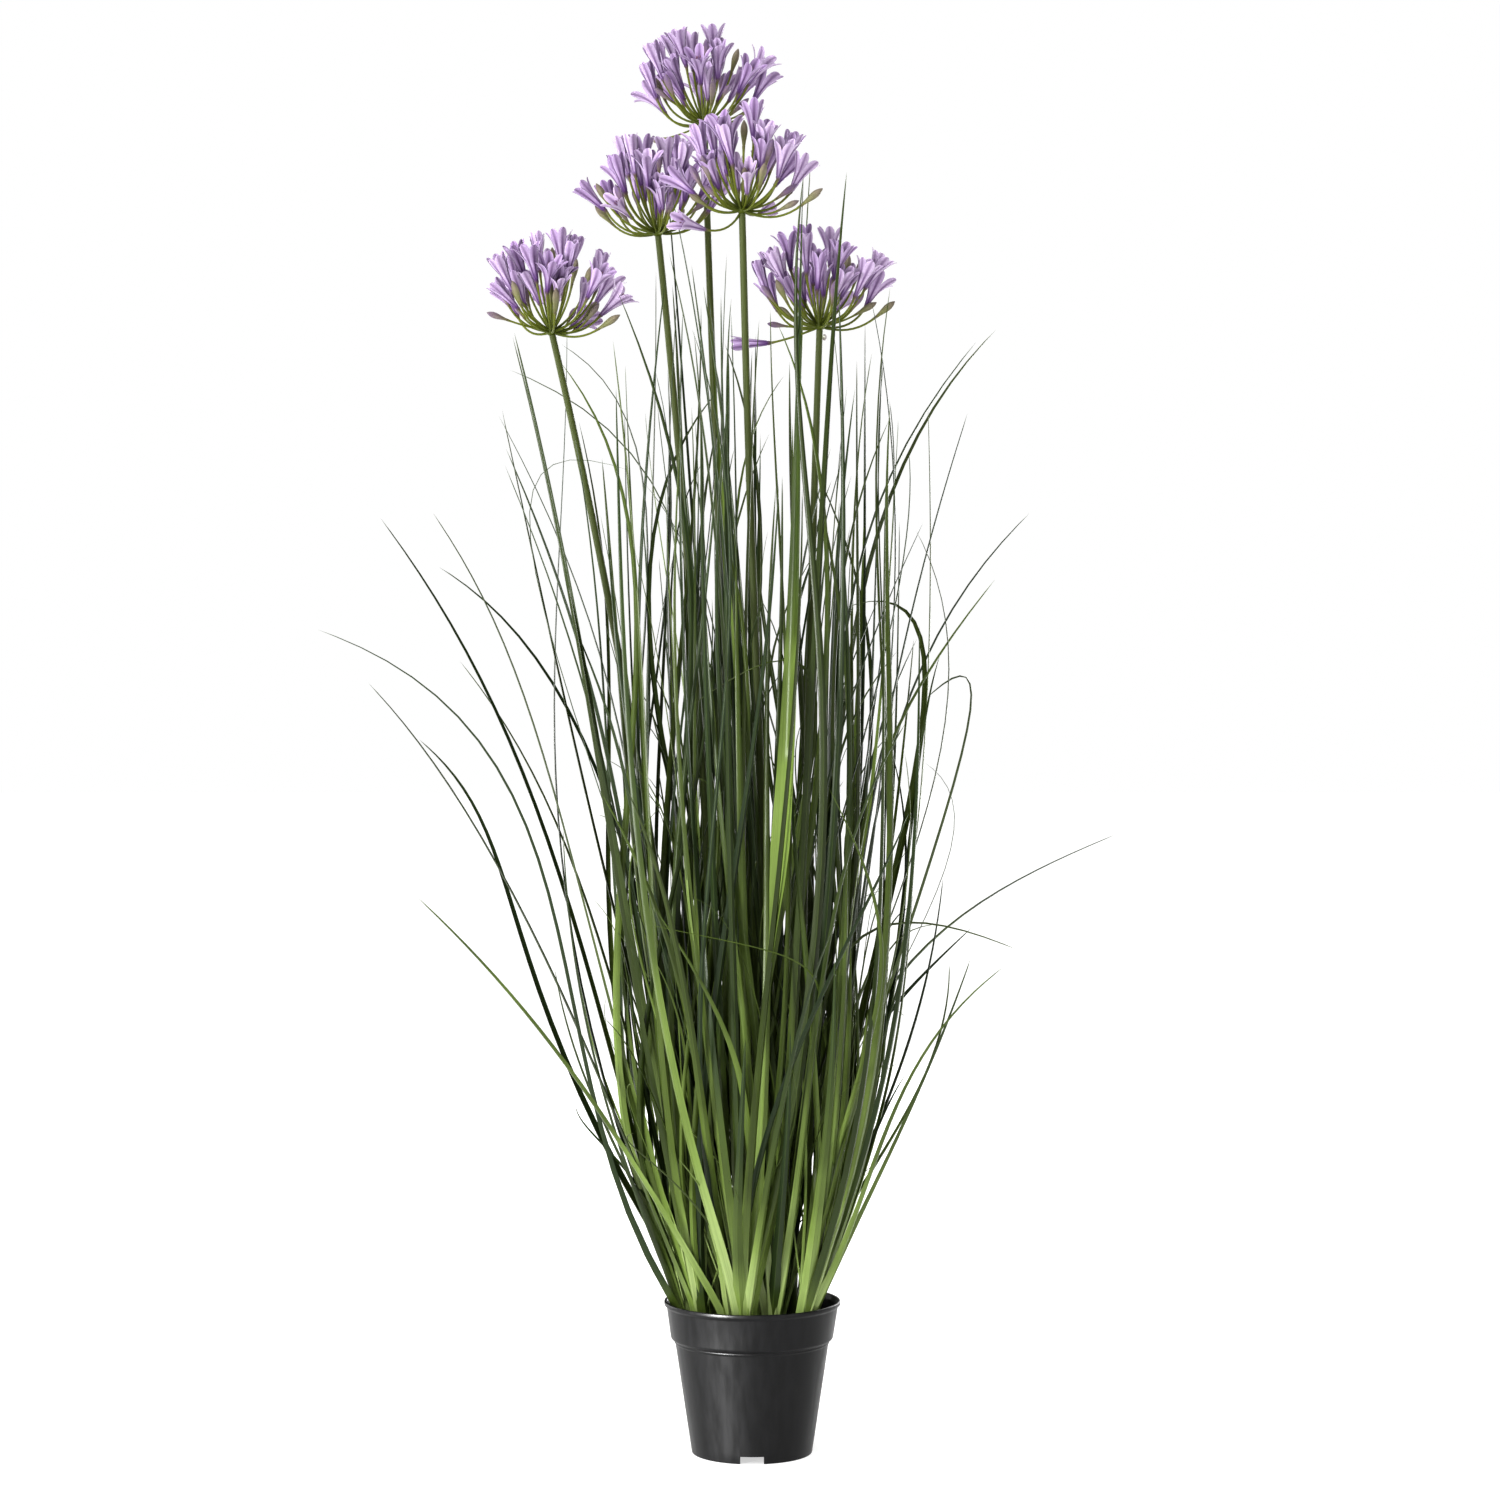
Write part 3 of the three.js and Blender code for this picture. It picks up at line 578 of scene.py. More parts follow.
def folded(centers, sides, backs, halves, folds, thickness):
    """Rings of a folded strip's section: its middle lies folds deep behind its edges."""
    depth = folds[:, None] * SECTION_SUNK + thickness * SECTION_BACK
    wide = halves[:, None] * SECTION_ACROSS
    return centers[:, None] + sides[:, None] * wide[..., None] + backs[:, None] * depth[..., None]


def turned_about(vectors, axes, angles):
    cos, sin = np.cos(angles)[:, None], np.sin(angles)[:, None]
    lengthwise = axes * (vectors * axes).sum(1)[:, None]
    return vectors * cos + np.cross(axes, vectors) * sin + lengthwise * (1 - cos)


# ---- Leaf blades ----

BLADE_STATIONS = 27
BLADE_THICKNESS = 0.35
FINE_THICKNESS = 0.3
HAIR_STATIONS = 22
HAIR_THICKNESS = 0.25
TAPER = 0.58

# A leaf's first stretch rises out of the fill to this share of its curve.
BASE_SHARE = 0.09
BASE_STATIONS = 5
BASE_DEPTH = 4
BASE_PULL = 0.33

# How far up a young leaf stays pale.
FRESH_REACH = 230


def stations_of(count, crowding):
    """Shares of the way from 0 to 1 that stand closer together towards the tip."""
    return 1 - (1 - np.linspace(0, 1, count)) ** crowding


def strip(shape, curve, centers, ways, halves, folds, twist, tone, thickness, fresh=0.0):
    """A folded leaf blade along its middle line. The keel faces out and the groove in."""
    level = unit(np.cross(UP, curve.poles[3] - curve.poles[0]) + vec(1e-6, 0, 0))
    share = np.linspace(0, 1, len(centers))
    side = unit(level - ways * (ways @ level)[:, None])
    side = turned_about(side, ways, twist * DEGREE * (0.35 + 0.65 * share))
    back = np.cross(side, ways)
    rings = folded(centers[:-1], side[:-1], back[:-1], halves[:-1], folds[:-1], thickness)
    along = lengths_along(centers)[:-1, None] * MM
    across = halves[:-1, None] * SECTION_ACROSS
    values = {"along": along, "across": across, "tone": tone, "part": SECTION_BACK, "fresh": fresh}
    shape.skin(rings, end=centers[-1], **values)


def leaf(shape, tuft, blade, tone, draw):
    """A blade from the fill up: out of the tuft's fan of leaf bases and on along its curve."""
    curve = blade.curve
    azimuth = bearing(curve.root_way)
    foot = tuft.surface - UP * BASE_DEPTH + around(draw(1.5, 4), azimuth)
    foot_way = unit(tuft.way + 0.35 * curve.root_way)
    base = Bend(foot, foot_way, curve.at(BASE_SHARE), curve.way(BASE_SHARE), BASE_PULL, BASE_PULL)
    rising = np.linspace(0, 1, BASE_STATIONS + 1)[:-1]
    rest = BASE_SHARE + (1 - BASE_SHARE) * stations_of(BLADE_STATIONS - BASE_STATIONS, 1.25)
    centers = np.concatenate([base.at(rising), curve.at(rest)])
    ways = np.concatenate([base.way(rising), curve.way(rest)])
    t = np.concatenate([rising * BASE_SHARE, rest])
    swell = 1.24 + 0.26 * (1 - ease(t / 0.35))
    halves = blade.width / 2 * swell * (1 - t) ** TAPER
    halves[0] *= 0.8
    folds = halves * lerp(0.8, 0.42, ease(t / 0.4))
    strip(shape, curve, centers, ways, halves, folds, blade.twist, tone, BLADE_THICKNESS)


def free_strip(shape, curve, width, twist, tone, count, thickness, fresh=0.0, taper=TAPER, foot=0.7):
    """A blade along the whole of its curve. A fresh one is pale near its foot."""
    t = stations_of(count, 1.2)
    centers, ways = curve.at(t), curve.way(t)
    halves = width / 2 * lerp(foot, 1, ease(t / 0.15)) * (1 - t) ** taper
    folds = halves * lerp(0.7, 0.35, ease(t / 0.4))
    young = fresh * (1 - ease(lengths_along(centers)[:-1, None] / FRESH_REACH))
    strip(shape, curve, centers, ways, halves, folds, twist, tone, thickness, young)


def misses_heads(curve):
    chords = chords_of(curve.at(np.linspace(0, 1, 12)), np.zeros(12), 0)
    return all(clear_of_heads(chord) for chord in chords)


def drawn_until_clear(curve_of):
    """The same rule, repeated until its curve passes the flower heads by."""

    def drawn(tuft, draw):
        curve = curve_of(tuft, draw)
        return curve if misses_heads(curve) else drawn(tuft, draw)

    return drawn


FINE_PER_TUFT = 5
FINE_WIDTHS = (5, 8.4)
FINE_TOP = 1000


def fine_blade(tuft, share, draw):
    """A narrower blade of the bunch, more of them tall, that passes the flower heads by."""
    while True:
        blade = bunch_blade(tuft, share, draw, FINE_WIDTHS)
        (x, y, z), root_way = blade.curve.poles[3], blade.curve.root_way
        cos, sin, _ = around(1, strayed(0, 50, draw))
        wide = draw(0.5, 1.22)
        height = lerp(z, FINE_TOP, 0.45 * draw())
        tip = vec(wide * (x * cos - y * sin), wide * (x * sin + y * cos), height)
        outward = around(1, strayed(tuft.azimuth, 100, draw))
        tip_way = unit(blade.curve.tip_way + 0.9 * draw() * outward)
        pulls = draw(0.32, 0.5), draw(0.2, 0.4)
        curve = Bend(blade.curve.poles[0], root_way, tip, tip_way, *pulls)
        if misses_heads(curve):
            return Blade(curve, blade.width, blade.twist)


@drawn_until_clear
def tall_blade(tuft, draw):
    """A slim blade that ends among the flower heads, the higher the nearer to the middle."""
    azimuth = strayed(tuft.azimuth, 75, draw)
    reach = draw(30, 140)
    height = 960 - 1.3 * reach * draw() - 260 * draw()
    root = tuft.drawn_root(azimuth, draw)
    root_way = heading(azimuth, 2 + 12 * tuft.edge + draw(-5, 6))
    tip_way = heading(strayed(azimuth, 100, draw), draw(0, 30))
    pulls = draw(0.3, 0.45), draw(0.2, 0.4)
    return Bend(root, root_way, around(reach, azimuth, FILL_TOP + height), tip_way, *pulls)


@drawn_until_clear
def curled_hair(tuft, draw):
    """A hair-thin blade that leaves the bunch and bends away, or now and then curls over."""
    azimuth = strayed(tuft.azimuth, 110, draw)
    height = 230 + 520 * draw()
    reach = lerp(50, 190, draw()) * (0.5 + 0.5 * tuft.edge)
    root = tuft.drawn_root(azimuth, draw)
    root_way = heading(azimuth, 2 + 16 * tuft.edge + draw(-5, 8))
    lean = draw(15, 75) if draw() < 0.75 else draw(90, 140)
    tip_way = heading(strayed(azimuth, 140, draw), lean)
    pulls = draw(0.4, 0.62), draw(0.18, 0.4)
    return Bend(root, root_way, around(reach, azimuth, FILL_TOP + height), tip_way, *pulls)


def low_wisp(tuft, draw):
    """A short thin blade whose end slants away across the others."""
    azimuth = strayed(tuft.azimuth, 70, draw)
    height = 130 + 400 * draw()
    reach = lerp(45, 165, draw()) * (0.6 + 0.4 * tuft.edge)
    root_way = heading(azimuth, 4 + 14 * tuft.edge + draw(-5, 8))
    tip_way = heading(strayed(azimuth, 90, draw), draw(30, 95))
    root = tuft.drawn_root(azimuth, draw)
    pulls = draw(0.5, 0.7), draw(0.15, 0.3)
    return Bend(root, root_way, around(reach, azimuth, FILL_TOP + height), tip_way, *pulls)


# The trim of each tuft: how many, by which rule, the range of their widths, how far they twist
# either way, their stations and their thickness.
TRIM = (
    (2, tall_blade, (8.2, 10.4), 40, BLADE_STATIONS, FINE_THICKNESS),
    (1, curled_hair, (1.5, 2.8), 60, HAIR_STATIONS, HAIR_THICKNESS),
    (9, low_wisp, (2, 4.4), 60, HAIR_STATIONS, HAIR_THICKNESS),
)

# Young pale leaves that leave an older one higher up: where they leave it, their tip, their width.
YOUNG_LEAVES = (
    ((14, -125, 420), (42, -70, 1066), 22),
    ((-86, -90, 455), (-104, -60, 905), 10),
    ((-50, -110, 415), (-70, -100, 800), 11),
    ((-20, -80, 600), (-34, -50, 960), 10),
    ((84, -80, 480), (120, -60, 860), 10),
    ((10, 70, 430), (4, 96, 900), 12),
    ((-60, 52, 470), (-92, 74, 880), 10),
    ((70, 50, 440), (98, 70, 830), 10),
)


def add_young_leaf(shapes, place, tip, width, draw):
    """Grows the leaf from the point of a standing blade that is nearest to its place."""
    shares = np.linspace(0.2, 0.75, 40)
    found = []
    for shape, tuft in zip(shapes, tufts):
        for blade in tuft.blades:
            points = blade.curve.at(shares)
            gaps = np.linalg.norm(points - vec(*place), axis=1)
            k = int(gaps.argmin())
            found.append((gaps[k], len(found), shape, points[k], blade.curve.way(shares[k])))
    _, _, shape, root, way = min(found)
    tip_way = unit(vec(*tip) - root + vec(0, 0, 200))
    curve = Bend(root, way, vec(*tip), tip_way, 0.35, 0.3)
    twist, tone = draw(-25, 25), draw(0.6, 0.95)
    like = {"fresh": 1.0, "taper": 1.15, "foot": 0.2}
    free_strip(shape, curve, width, twist, tone, BLADE_STATIONS, BLADE_THICKNESS, **like)


# Blades in front of the others: spot, azimuth and lean of the root, tip, azimuth and lean there,
# how far the curve holds each end's direction, width, tone.
FRONT_BLADES = (
    (10, -45, 8, (-84, -150, 451), 180, 78, 0.9, 0.55, 3.6, 0.4),
    (7, 205, 9, (-122, -125, 557), 180, 30, 0.45, 0.35, 10, 0.8),
    (15, -85, 7, (-78, -140, 464), 180, 34, 0.5, 0.45, 9, 0.66),
    (2, -60, 9, (139, -90, 774), 0, 26, 0.5, 0.3, 9, 0.55),
    (15, -78, 6, (-13, -120, 745), 95, 4, 0.4, 0.35, 11, 0.95),
    (18, -40, 12, (60, -160, 560), 170, 28, 0.6, 0.4, 7, 0.93),
    (7, -60, 4, (-50, -45, 990), 180, 8, 0.4, 0.3, 9.5, 0.2),
    (10, -100, 5, (-40, -60, 970), 180, 9, 0.4, 0.3, 9, 0.75),
    (12, 190, 11, (-71, -40, 985), 0, 7, 0.4, 0.35, 8.5, 0.55),
    (7, 200, 8, (-62, -15, 972), 0, 4, 0.4, 0.35, 9, 0.15),
    (2, 180, 3, (-21, -10, 1005), 20, 3, 0.4, 0.3, 6.5, 0.35),
    (18, 10, 8, (98, -52, 960), 180, 12, 0.4, 0.3, 9, 0.3),
    (10, 20, 5, (66, -52, 942), 180, 7, 0.4, 0.3, 9, 0.65),
    (12, 180, 12, (-192, -104, 926), 180, 14, 0.42, 0.3, 13, 0.62),
    (9, 184, 14, (-203, -52, 838), 180, 24, 0.4, 0.4, 11, 0.31),
    (12, 200, 16, (-150, -80, 700), 180, 26, 0.4, 0.35, 10, 0.58),
)
FRONT_TWIST = 20


def add_front_blade(shapes, row):
    spot, azimuth, lean, tip, tip_azimuth, tip_lean, root_pull, tip_pull, width, tone = row
    shape, tuft = next(pair for pair in zip(shapes, tufts) if pair[1].spot == spot)
    root, root_way = tuft.root(LOWEST_BLADE, azimuth), heading(azimuth, lean)
    curve = Bend(root, root_way, vec(*tip), heading(tip_azimuth, tip_lean), root_pull, tip_pull)
    free_strip(shape, curve, width, FRONT_TWIST, tone, BLADE_STATIONS, BLADE_THICKNESS)


SHEATH_SIDES = 12


def sheath(shape, tuft, draw):
    """The pale core that the leaf bases of a tuft clasp, with a pointed mouth."""
    rises = np.array([-ROOT_DEPTH, -6, 0, 12, 26, 40, SHEATH_RISE])
    radii = np.interp(rises, [0, SHEATH_RISE], [SHEATH_RADIUS, SHEATH_TOP_RADIUS]) * 0.93
    rings = rod(tuft.surface, tuft.way, rises, radii, SHEATH_SIDES)
    point = tuft.surface + tuft.way * (SHEATH_RISE + SHEATH_POINT)
    along = (rises + ROOT_DEPTH).clip(0)[:, None] * MM * 0.5
    across = np.sin(np.arange(SHEATH_SIDES) * math.pi / 3) * 3
    shape.skin(rings, end=point, along=along, across=across, tone=draw(0.55, 0.8))


def tuft_shape(k, tuft):
    shape = Shape()
    draw = Draw(52000 + 71 * k)
    sheath(shape, tuft, draw)
    for blade in tuft.blades:
        leaf(shape, tuft, blade, draw(), draw)
    for j in range(FINE_PER_TUFT):
        fine = fine_blade(tuft, 2 * (j + 0.5) / FINE_PER_TUFT - 1, draw)
        free_strip(shape, fine.curve, fine.width, fine.twist, draw(), BLADE_STATIONS, FINE_THICKNESS)
    for count, curve_of, widths, most, stations, thickness in TRIM:
        for _ in range(count):
            curve = curve_of(tuft, draw)
            width, twist = draw(*widths), draw(-most, most)
            free_strip(shape, curve, width, twist, draw(), stations, thickness)
    return shape


def add_tufts():
    shapes = [tuft_shape(k, tuft) for k, tuft in enumerate(tufts)]
    draw = Draw(4711)
    for place, tip, width in YOUNG_LEAVES:
        add_young_leaf(shapes, place, tip, width, draw)
    for row in FRONT_BLADES:
        add_front_blade(shapes, row)
    for number, shape in enumerate(shapes, 1):
        shape.piece(f"tuft_{number:02d}_blades", leaf_finish, f"leaf_tuft_{number:02d}", "leaf_green")


# ---- Umbels ----


class Stalk:
    """A pedicel's quadratic curve, out of the hub and up."""

    def __init__(self, center, azimuth, root_rise, top_rise, length):
        root_way = heading(azimuth, 90 - root_rise)
        self.top_way = heading(azimuth, 90 - top_rise)
        self.start = center + root_way * 0.75 * HUB_RADIUS
        self.middle = self.start + root_way * length / 2
        self.end = self.middle + self.top_way * length / 2

    def at(self, t):
        t = t[:, None]
        return (1 - t) ** 2 * self.start + 2 * (1 - t) * t * self.middle + t**2 * self.end

    def way(self, t):
        t = t[:, None]
        return unit((1 - t) * (self.middle - self.start) + t * (self.end - self.middle))


STALK_SIDES = 8
STALK_STATIONS = np.linspace(-0.06, 1, 10)


def add_stalk(shape, stalk, tone, thick):
    """A pedicel that widens at its foot and under its flower."""
    t = STALK_STATIONS
    swell = 0.92 + 0.3 * ease((0.25 - t) / 0.25) + 0.38 * ease((t - 0.86) / 0.14)
    rings = circle(stalk.at(t), stalk.way(t), PEDICEL_RADIUS * thick * swell, STALK_SIDES)
    shape.skin(rings, along=t[:, None], tone=tone)


# What the part channel says in a floret.
PETAL, TUBE, STAMEN = 0, 1, 2

FLORET_LENGTH = 34
FUNNEL_HEIGHTS = np.array([-0.4, 1.2, 4, 7, 9.5, 12, 12.3, 11, 9])
FUNNEL_RADII = np.array([1.2, 1.9, 1.85, 2.1, 2.35, 2.4, 2.1, 1.6, 0.8])
FUNNEL_SIDES = 12
PETAL_STATIONS = np.array([0, 0.12, 0.26, 0.4, 0.54, 0.67, 0.78, 0.87, 0.94, 0.98, 1])
PETAL_FOOT_HALF = 1.15
PETAL_HALF = 3.95
PETAL_SHEET = 0.32
ROUND_FROM = 0.74
FLARE = 1.3
NOD = 0.2
STAMENS = 5
FILAMENT_RADIUS = 0.26


class Floret:
    """A funnel-shaped flower: where it stands, the way it faces and how large it is."""

    def __init__(self, base, way, size, draw):
        self.base, self.size = base, size
        self.way = unit(way + NOD * vec(*[draw(-1, 1) for _ in range(3)]))
        self.u = unit(vec(-self.way[1], self.way[0], 1e-9))
        self.v = np.cross(self.way, self.u)
        self.tone = draw()

    def out(self, angle):
        return self.u * math.cos(angle) + self.v * math.sin(angle)

    def at(self, radius, angle, height):
        return self.base + self.size * (self.way * height + radius * self.out(angle))

    def add_tube(self, shape):
        heights, radii = self.size * FUNNEL_HEIGHTS, self.size * FUNNEL_RADII
        rings = rod(self.base, self.way, heights, radii, FUNNEL_SIDES)
        ridges = np.cos(np.arange(FUNNEL_SIDES) * math.pi)
        along = FUNNEL_HEIGHTS[:, None] / FLORET_LENGTH
        shape.skin(rings, along=along, across=ridges, tone=self.tone, part=TUBE)

    def add_petal(self, shape, angle, flare, draw):
        """A petal: narrow where the petals part, widest at three quarters, and round at the end."""
        t = PETAL_STATIONS
        tip = FLARE * TIP_RADIUS * flare, 35 - 4.5 * max(flare - 0.6, 0) + draw(-1, 1)
        line = ((1.75, 3.4), (3.4, 17), (lerp(2.6, 6.2, flare), 27), tip)
        centers = cubic([self.at(radius, angle, height) for radius, height in line], t)
        ways = unit(np.gradient(centers, axis=0))
        side = np.tile(np.cross(self.way, self.out(angle)), (len(t), 1))
        side = turned_about(side, ways, draw(-0.25, 0.25) * t)
        back = np.cross(side, ways)
        back *= np.sign(back[0] @ self.out(angle))
        rounding = (np.clip(t - ROUND_FROM, 0, None) / (1 - ROUND_FROM)) ** 2 * 0.96
        halves = lerp(PETAL_FOOT_HALF, PETAL_HALF, ease(t / 0.7)) * np.sqrt(1 - rounding)
        halves = self.size * halves * draw(0.92, 1.08)
        folds = halves * lerp(0.46, 0.17, ease((t - 0.2) / 0.5))
        rings = folded(centers, side, back, halves, folds * ease((1.12 - t) / 0.3), PETAL_SHEET)
        rings -= (back * (0.8 * folds)[:, None])[:, None]
        tone = 0.7 * self.tone + 0.3 * draw()
        shape.skin(rings, along=t[:, None], across=SECTION_ACROSS, tone=tone, part=PETAL)

    def add_stamen(self, shape, angle, draw):
        top = 24.5 + draw(-1.5, 2)
        line = ((0.5, 10.5), (1.3, 18), (2.1 + draw(-0.4, 0.8), top))
        filament = np.array([self.at(radius, angle, height) for radius, height in line])
        rings = circle(filament, np.tile(self.way, (len(line), 1)), FILAMENT_RADIUS, 5)
        shape.skin(rings, along=0.5, tone=self.tone, part=STAMEN)
        anther = rod(filament[-1], self.way, (-0.5, 0.5, 1.5), (0.3, 0.62, 0.4), 6)
        shape.skin(anther, end=filament[-1] + self.way * 2, along=1, tone=self.tone, part=STAMEN)


def add_floret(shape, stalk, turn, size, openness, draw):
    """A tube, three outer and three inner petals, and stamens, on a stalk's end."""
    floret = Floret(stalk.end, stalk.top_way, size, draw)
    floret.add_tube(shape)
    for k in range(PETALS):
        angle = turn + k * math.pi / 3 + draw(-0.09, 0.09)
        flare = openness * draw(0.86, 1.16) * (1.08 if k % 2 else 0.92)
        floret.add_petal(shape, angle, flare, draw)
    for k in range(STAMENS):
        floret.add_stamen(shape, turn + 0.4 + k * 2 * math.pi / STAMENS, draw)


BUD_HEIGHTS = np.array([-0.4, 1.5, 4.5, 8, 11.5, 14.5, 17, 19, 20.3])
BUD_RADII = np.array([1.1, 1.35, 1.75, 2.45, 2.95, 2.85, 2.25, 1.35, 0.6])
BUD_SIDES = 12


def add_bud(shape, stalk, size, tone):
    """A closed flower with three soft lobes, on a stalk's end."""
    lobes = 1 + 0.07 * np.cos(3 * turns(BUD_SIDES))
    radii = size * BUD_RADII[:, None] * lobes
    rings = rod(stalk.end, stalk.top_way, size * BUD_HEIGHTS, radii, BUD_SIDES)
    tip = stalk.end + size * stalk.top_way * BUD_LENGTH
    along, across = BUD_HEIGHTS[:, None] / BUD_LENGTH, np.cos(3 * turns(BUD_SIDES))
    shape.skin(rings, end=tip, along=along, across=across, tone=tone)


PEG_RADIUS = 1.3
KNOB_HEIGHTS = (SEAT_GAP, 1, 2.2, 3.6, 5, 6.2, 6.9)
KNOB_SHARES = np.array([0.5, 0.66, 0.88, 0.98, 0.9, 0.66, 0.34])


def add_hub(shape, scape):
    """The peg in the scape's top, and the knob that the stalks leave."""
    peg = rod(scape.hub, scape.top_way, (-PEG_LENGTH, SEAT_GAP + 0.5), PEG_RADIUS, 8)
    knob = rod(scape.hub, scape.top_way, KNOB_HEIGHTS, KNOB_SHARES * HUB_RADIUS, 14)
    for rings in (peg, knob):
        shape.skin(rings, tone=0.5)


EXTRA_BUDS = 6
EXTRA_FLORETS = 9
EXTRA_STRAY = 0.3 / DEGREE

# Stalks that stick out of their head: its number, how open the flower is (0 for a bud), azimuth,
# rise at root and at top, length.
STRAYS = (
    (1, 0, -10, -22, 32, 42),
    (2, 0.7, 180, -8, 58, 52),
    (2, 0, 168, -14, 46, 44),
    (3, 0.6, 186, -12, 70, 56),
    (4, 0, -6, -25, 38, 54),
    (4, 0.8, -150, -58, 6, 42),
    (5, 0, 10, -14, 40, 52),
    (5, 0.5, 180, -24, -12, 40),
    (5, 0.4, 174, 4, 60, 52),
)


def raised(rise, share):
    """A stalk's rise at its top, where it bends up by all but a share of what it lacks."""
    return 90 - (90 - rise) * share


def head_stalks(center, draw):
    """The stalks of the part's source, in its order of draws: each with its kind."""
    turn = draw(0, 360)
    highest, lowest = math.sin(HIGHEST_PEDICEL * DEGREE), math.sin(LOWEST_PEDICEL * DEGREE)
    for k in range(PEDICELS):
        root_rise = math.asin(lerp(highest, lowest, (k + 0.5) / PEDICELS)) / DEGREE
        top_rise = raised(root_rise, PEDICEL_RISE + draw(-0.06, 0.08))
        is_bud = k % BUD_EVERY == 2
        length = (BUD_PEDICEL_LENGTH if is_bud else PEDICEL_LENGTH) + draw(-5, 5)
        azimuth = strayed(turn + k * GOLDEN_ANGLE, PEDICEL_STRAY, draw)
        yield Stalk(center, azimuth, root_rise, top_rise, length), is_bud


def extra_stalks(center, draw):
    """Shorter stalks low between the others: buds first, then florets."""
    count = EXTRA_BUDS + EXTRA_FLORETS
    for k in range(count):
        is_bud = k < EXTRA_BUDS
        azimuth = strayed(k * 360 / count * 3, EXTRA_STRAY, draw)
        rise = draw(*((-22, 30) if is_bud else (-10, 60)))
        share = draw(*((0.3, 0.9) if is_bud else (0.25, 0.75)))
        length = draw(24 if is_bud else 20, 38)
        yield Stalk(center, azimuth, rise, raised(rise, share), length), is_bud


def add_head(number, scape):
    stalks, florets, buds = Shape(), Shape(), Shape()
    add_hub(stalks, scape)
    center = scape.hub + scape.top_way * 0.45 * HUB_HEIGHT
    draw = Draw(81000 + 53 * number)

    for stalk, is_bud in head_stalks(center, Draw(300 + 31 * (number - 1))):
        add_stalk(stalks, stalk, draw(), 1.0)
        if is_bud:
            add_bud(buds, stalk, 1.0, draw())
        else:
            add_floret(florets, stalk, math.pi / 6, 1.0, draw(0.5, 1.35), draw)
    for stalk, is_bud in extra_stalks(center, draw):
        add_stalk(stalks, stalk, draw(), 0.85)
        if is_bud:
            add_bud(buds, stalk, draw(0.7, 0.95), draw())
        else:
            add_floret(florets, stalk, draw(), 0.92, draw(0.5, 1.2), draw)
    for _, openness, azimuth, root_rise, top_rise, length in [row for row in STRAYS if row[0] == number]:
        stalk = Stalk(center, azimuth, root_rise, top_rise, length)
        add_stalk(stalks, stalk, draw(), 0.95)
        if openness:
            add_floret(florets, stalk, 0.4, 0.95, openness, draw)
        else:
            add_bud(buds, stalk, 1.0, draw(0, 0.45))
    node = f"flower_head_{number}"
    stalks.piece(f"head_{number}_stalks", stalk_finish, node, "scape_green")
    florets.piece(f"head_{number}_florets", petal_finish, node, "petal_lilac")
    buds.piece(f"head_{number}_buds", bud_finish, node, "petal_lilac")


SCAPE_STATIONS = 40
SCAPE_SIDES = 16


def add_scape(number, scape):
    shape = Shape()
    t = np.linspace(0, 1, SCAPE_STATIONS)
    centers = scape.curve.at(t)
    rings = circle(centers, scape.curve.way(t), lerp(SCAPE_RADIUS, SCAPE_TOP_RADIUS, t), SCAPE_SIDES)
    along = lengths_along(centers)[:, None] * MM
    across = turns(SCAPE_SIDES) * SCAPE_RADIUS
    shape.skin(rings, along=along, across=across, tone=Draw(640 + number)())
    shape.piece(f"scape_{number}", scape_finish, f"flower_stem_{number}", "scape_green")


# ---- Pot and fill ----


def rounded(profile, radius=0.7, steps=4):
    """The profile with its inner corners turned into short curves."""
    corners = [np.array(p, float) for p in profile]
    points = [corners[0]]
    for before, corner, after in zip(corners, corners[1:], corners[2:]):
        into, out = before - corner, after - corner
        a = corner + into * min(radius / np.linalg.norm(into), 0.45)
        b = corner + out * min(radius / np.linalg.norm(out), 0.45)
        for s in np.linspace(0, 1, steps):
            points.append((1 - s) ** 2 * a + 2 * (1 - s) * s * corner + s**2 * b)
    points.append(corners[-1])
    return np.array(points)


def lathe(profile, azimuths, lift):
    """Turns a profile that starts and ends on the axis. lift moves its points where it wants."""
    shape = Shape()
    inside = profile[1:-1]
    radii, heights = [np.repeat(inside[:, i, None], len(azimuths), 1) for i in (0, 1)]
    radii, heights = lift(radii, heights)
    rings = np.stack([radii * np.cos(azimuths), radii * np.sin(azimuths), heights], -1)
    shape.skin(rings, start=(0, 0, profile[0][1]), end=(0, 0, profile[-1][1]))
    return shape


POT_COLUMNS = 144
NOTCH_EDGE = 0.002

# The pot's foot is pressed up almost to the notch's roof, and not quite, so that its points stay apart.
NOTCH_PRESS = 0.97

# The thin collar isn't quite round: waves round it, their height and where they start.
COLLAR_WAVES = ((3, 0.28, 0.6), (7, 0.16, 2))


def inner(radius):
    return radius - WALL


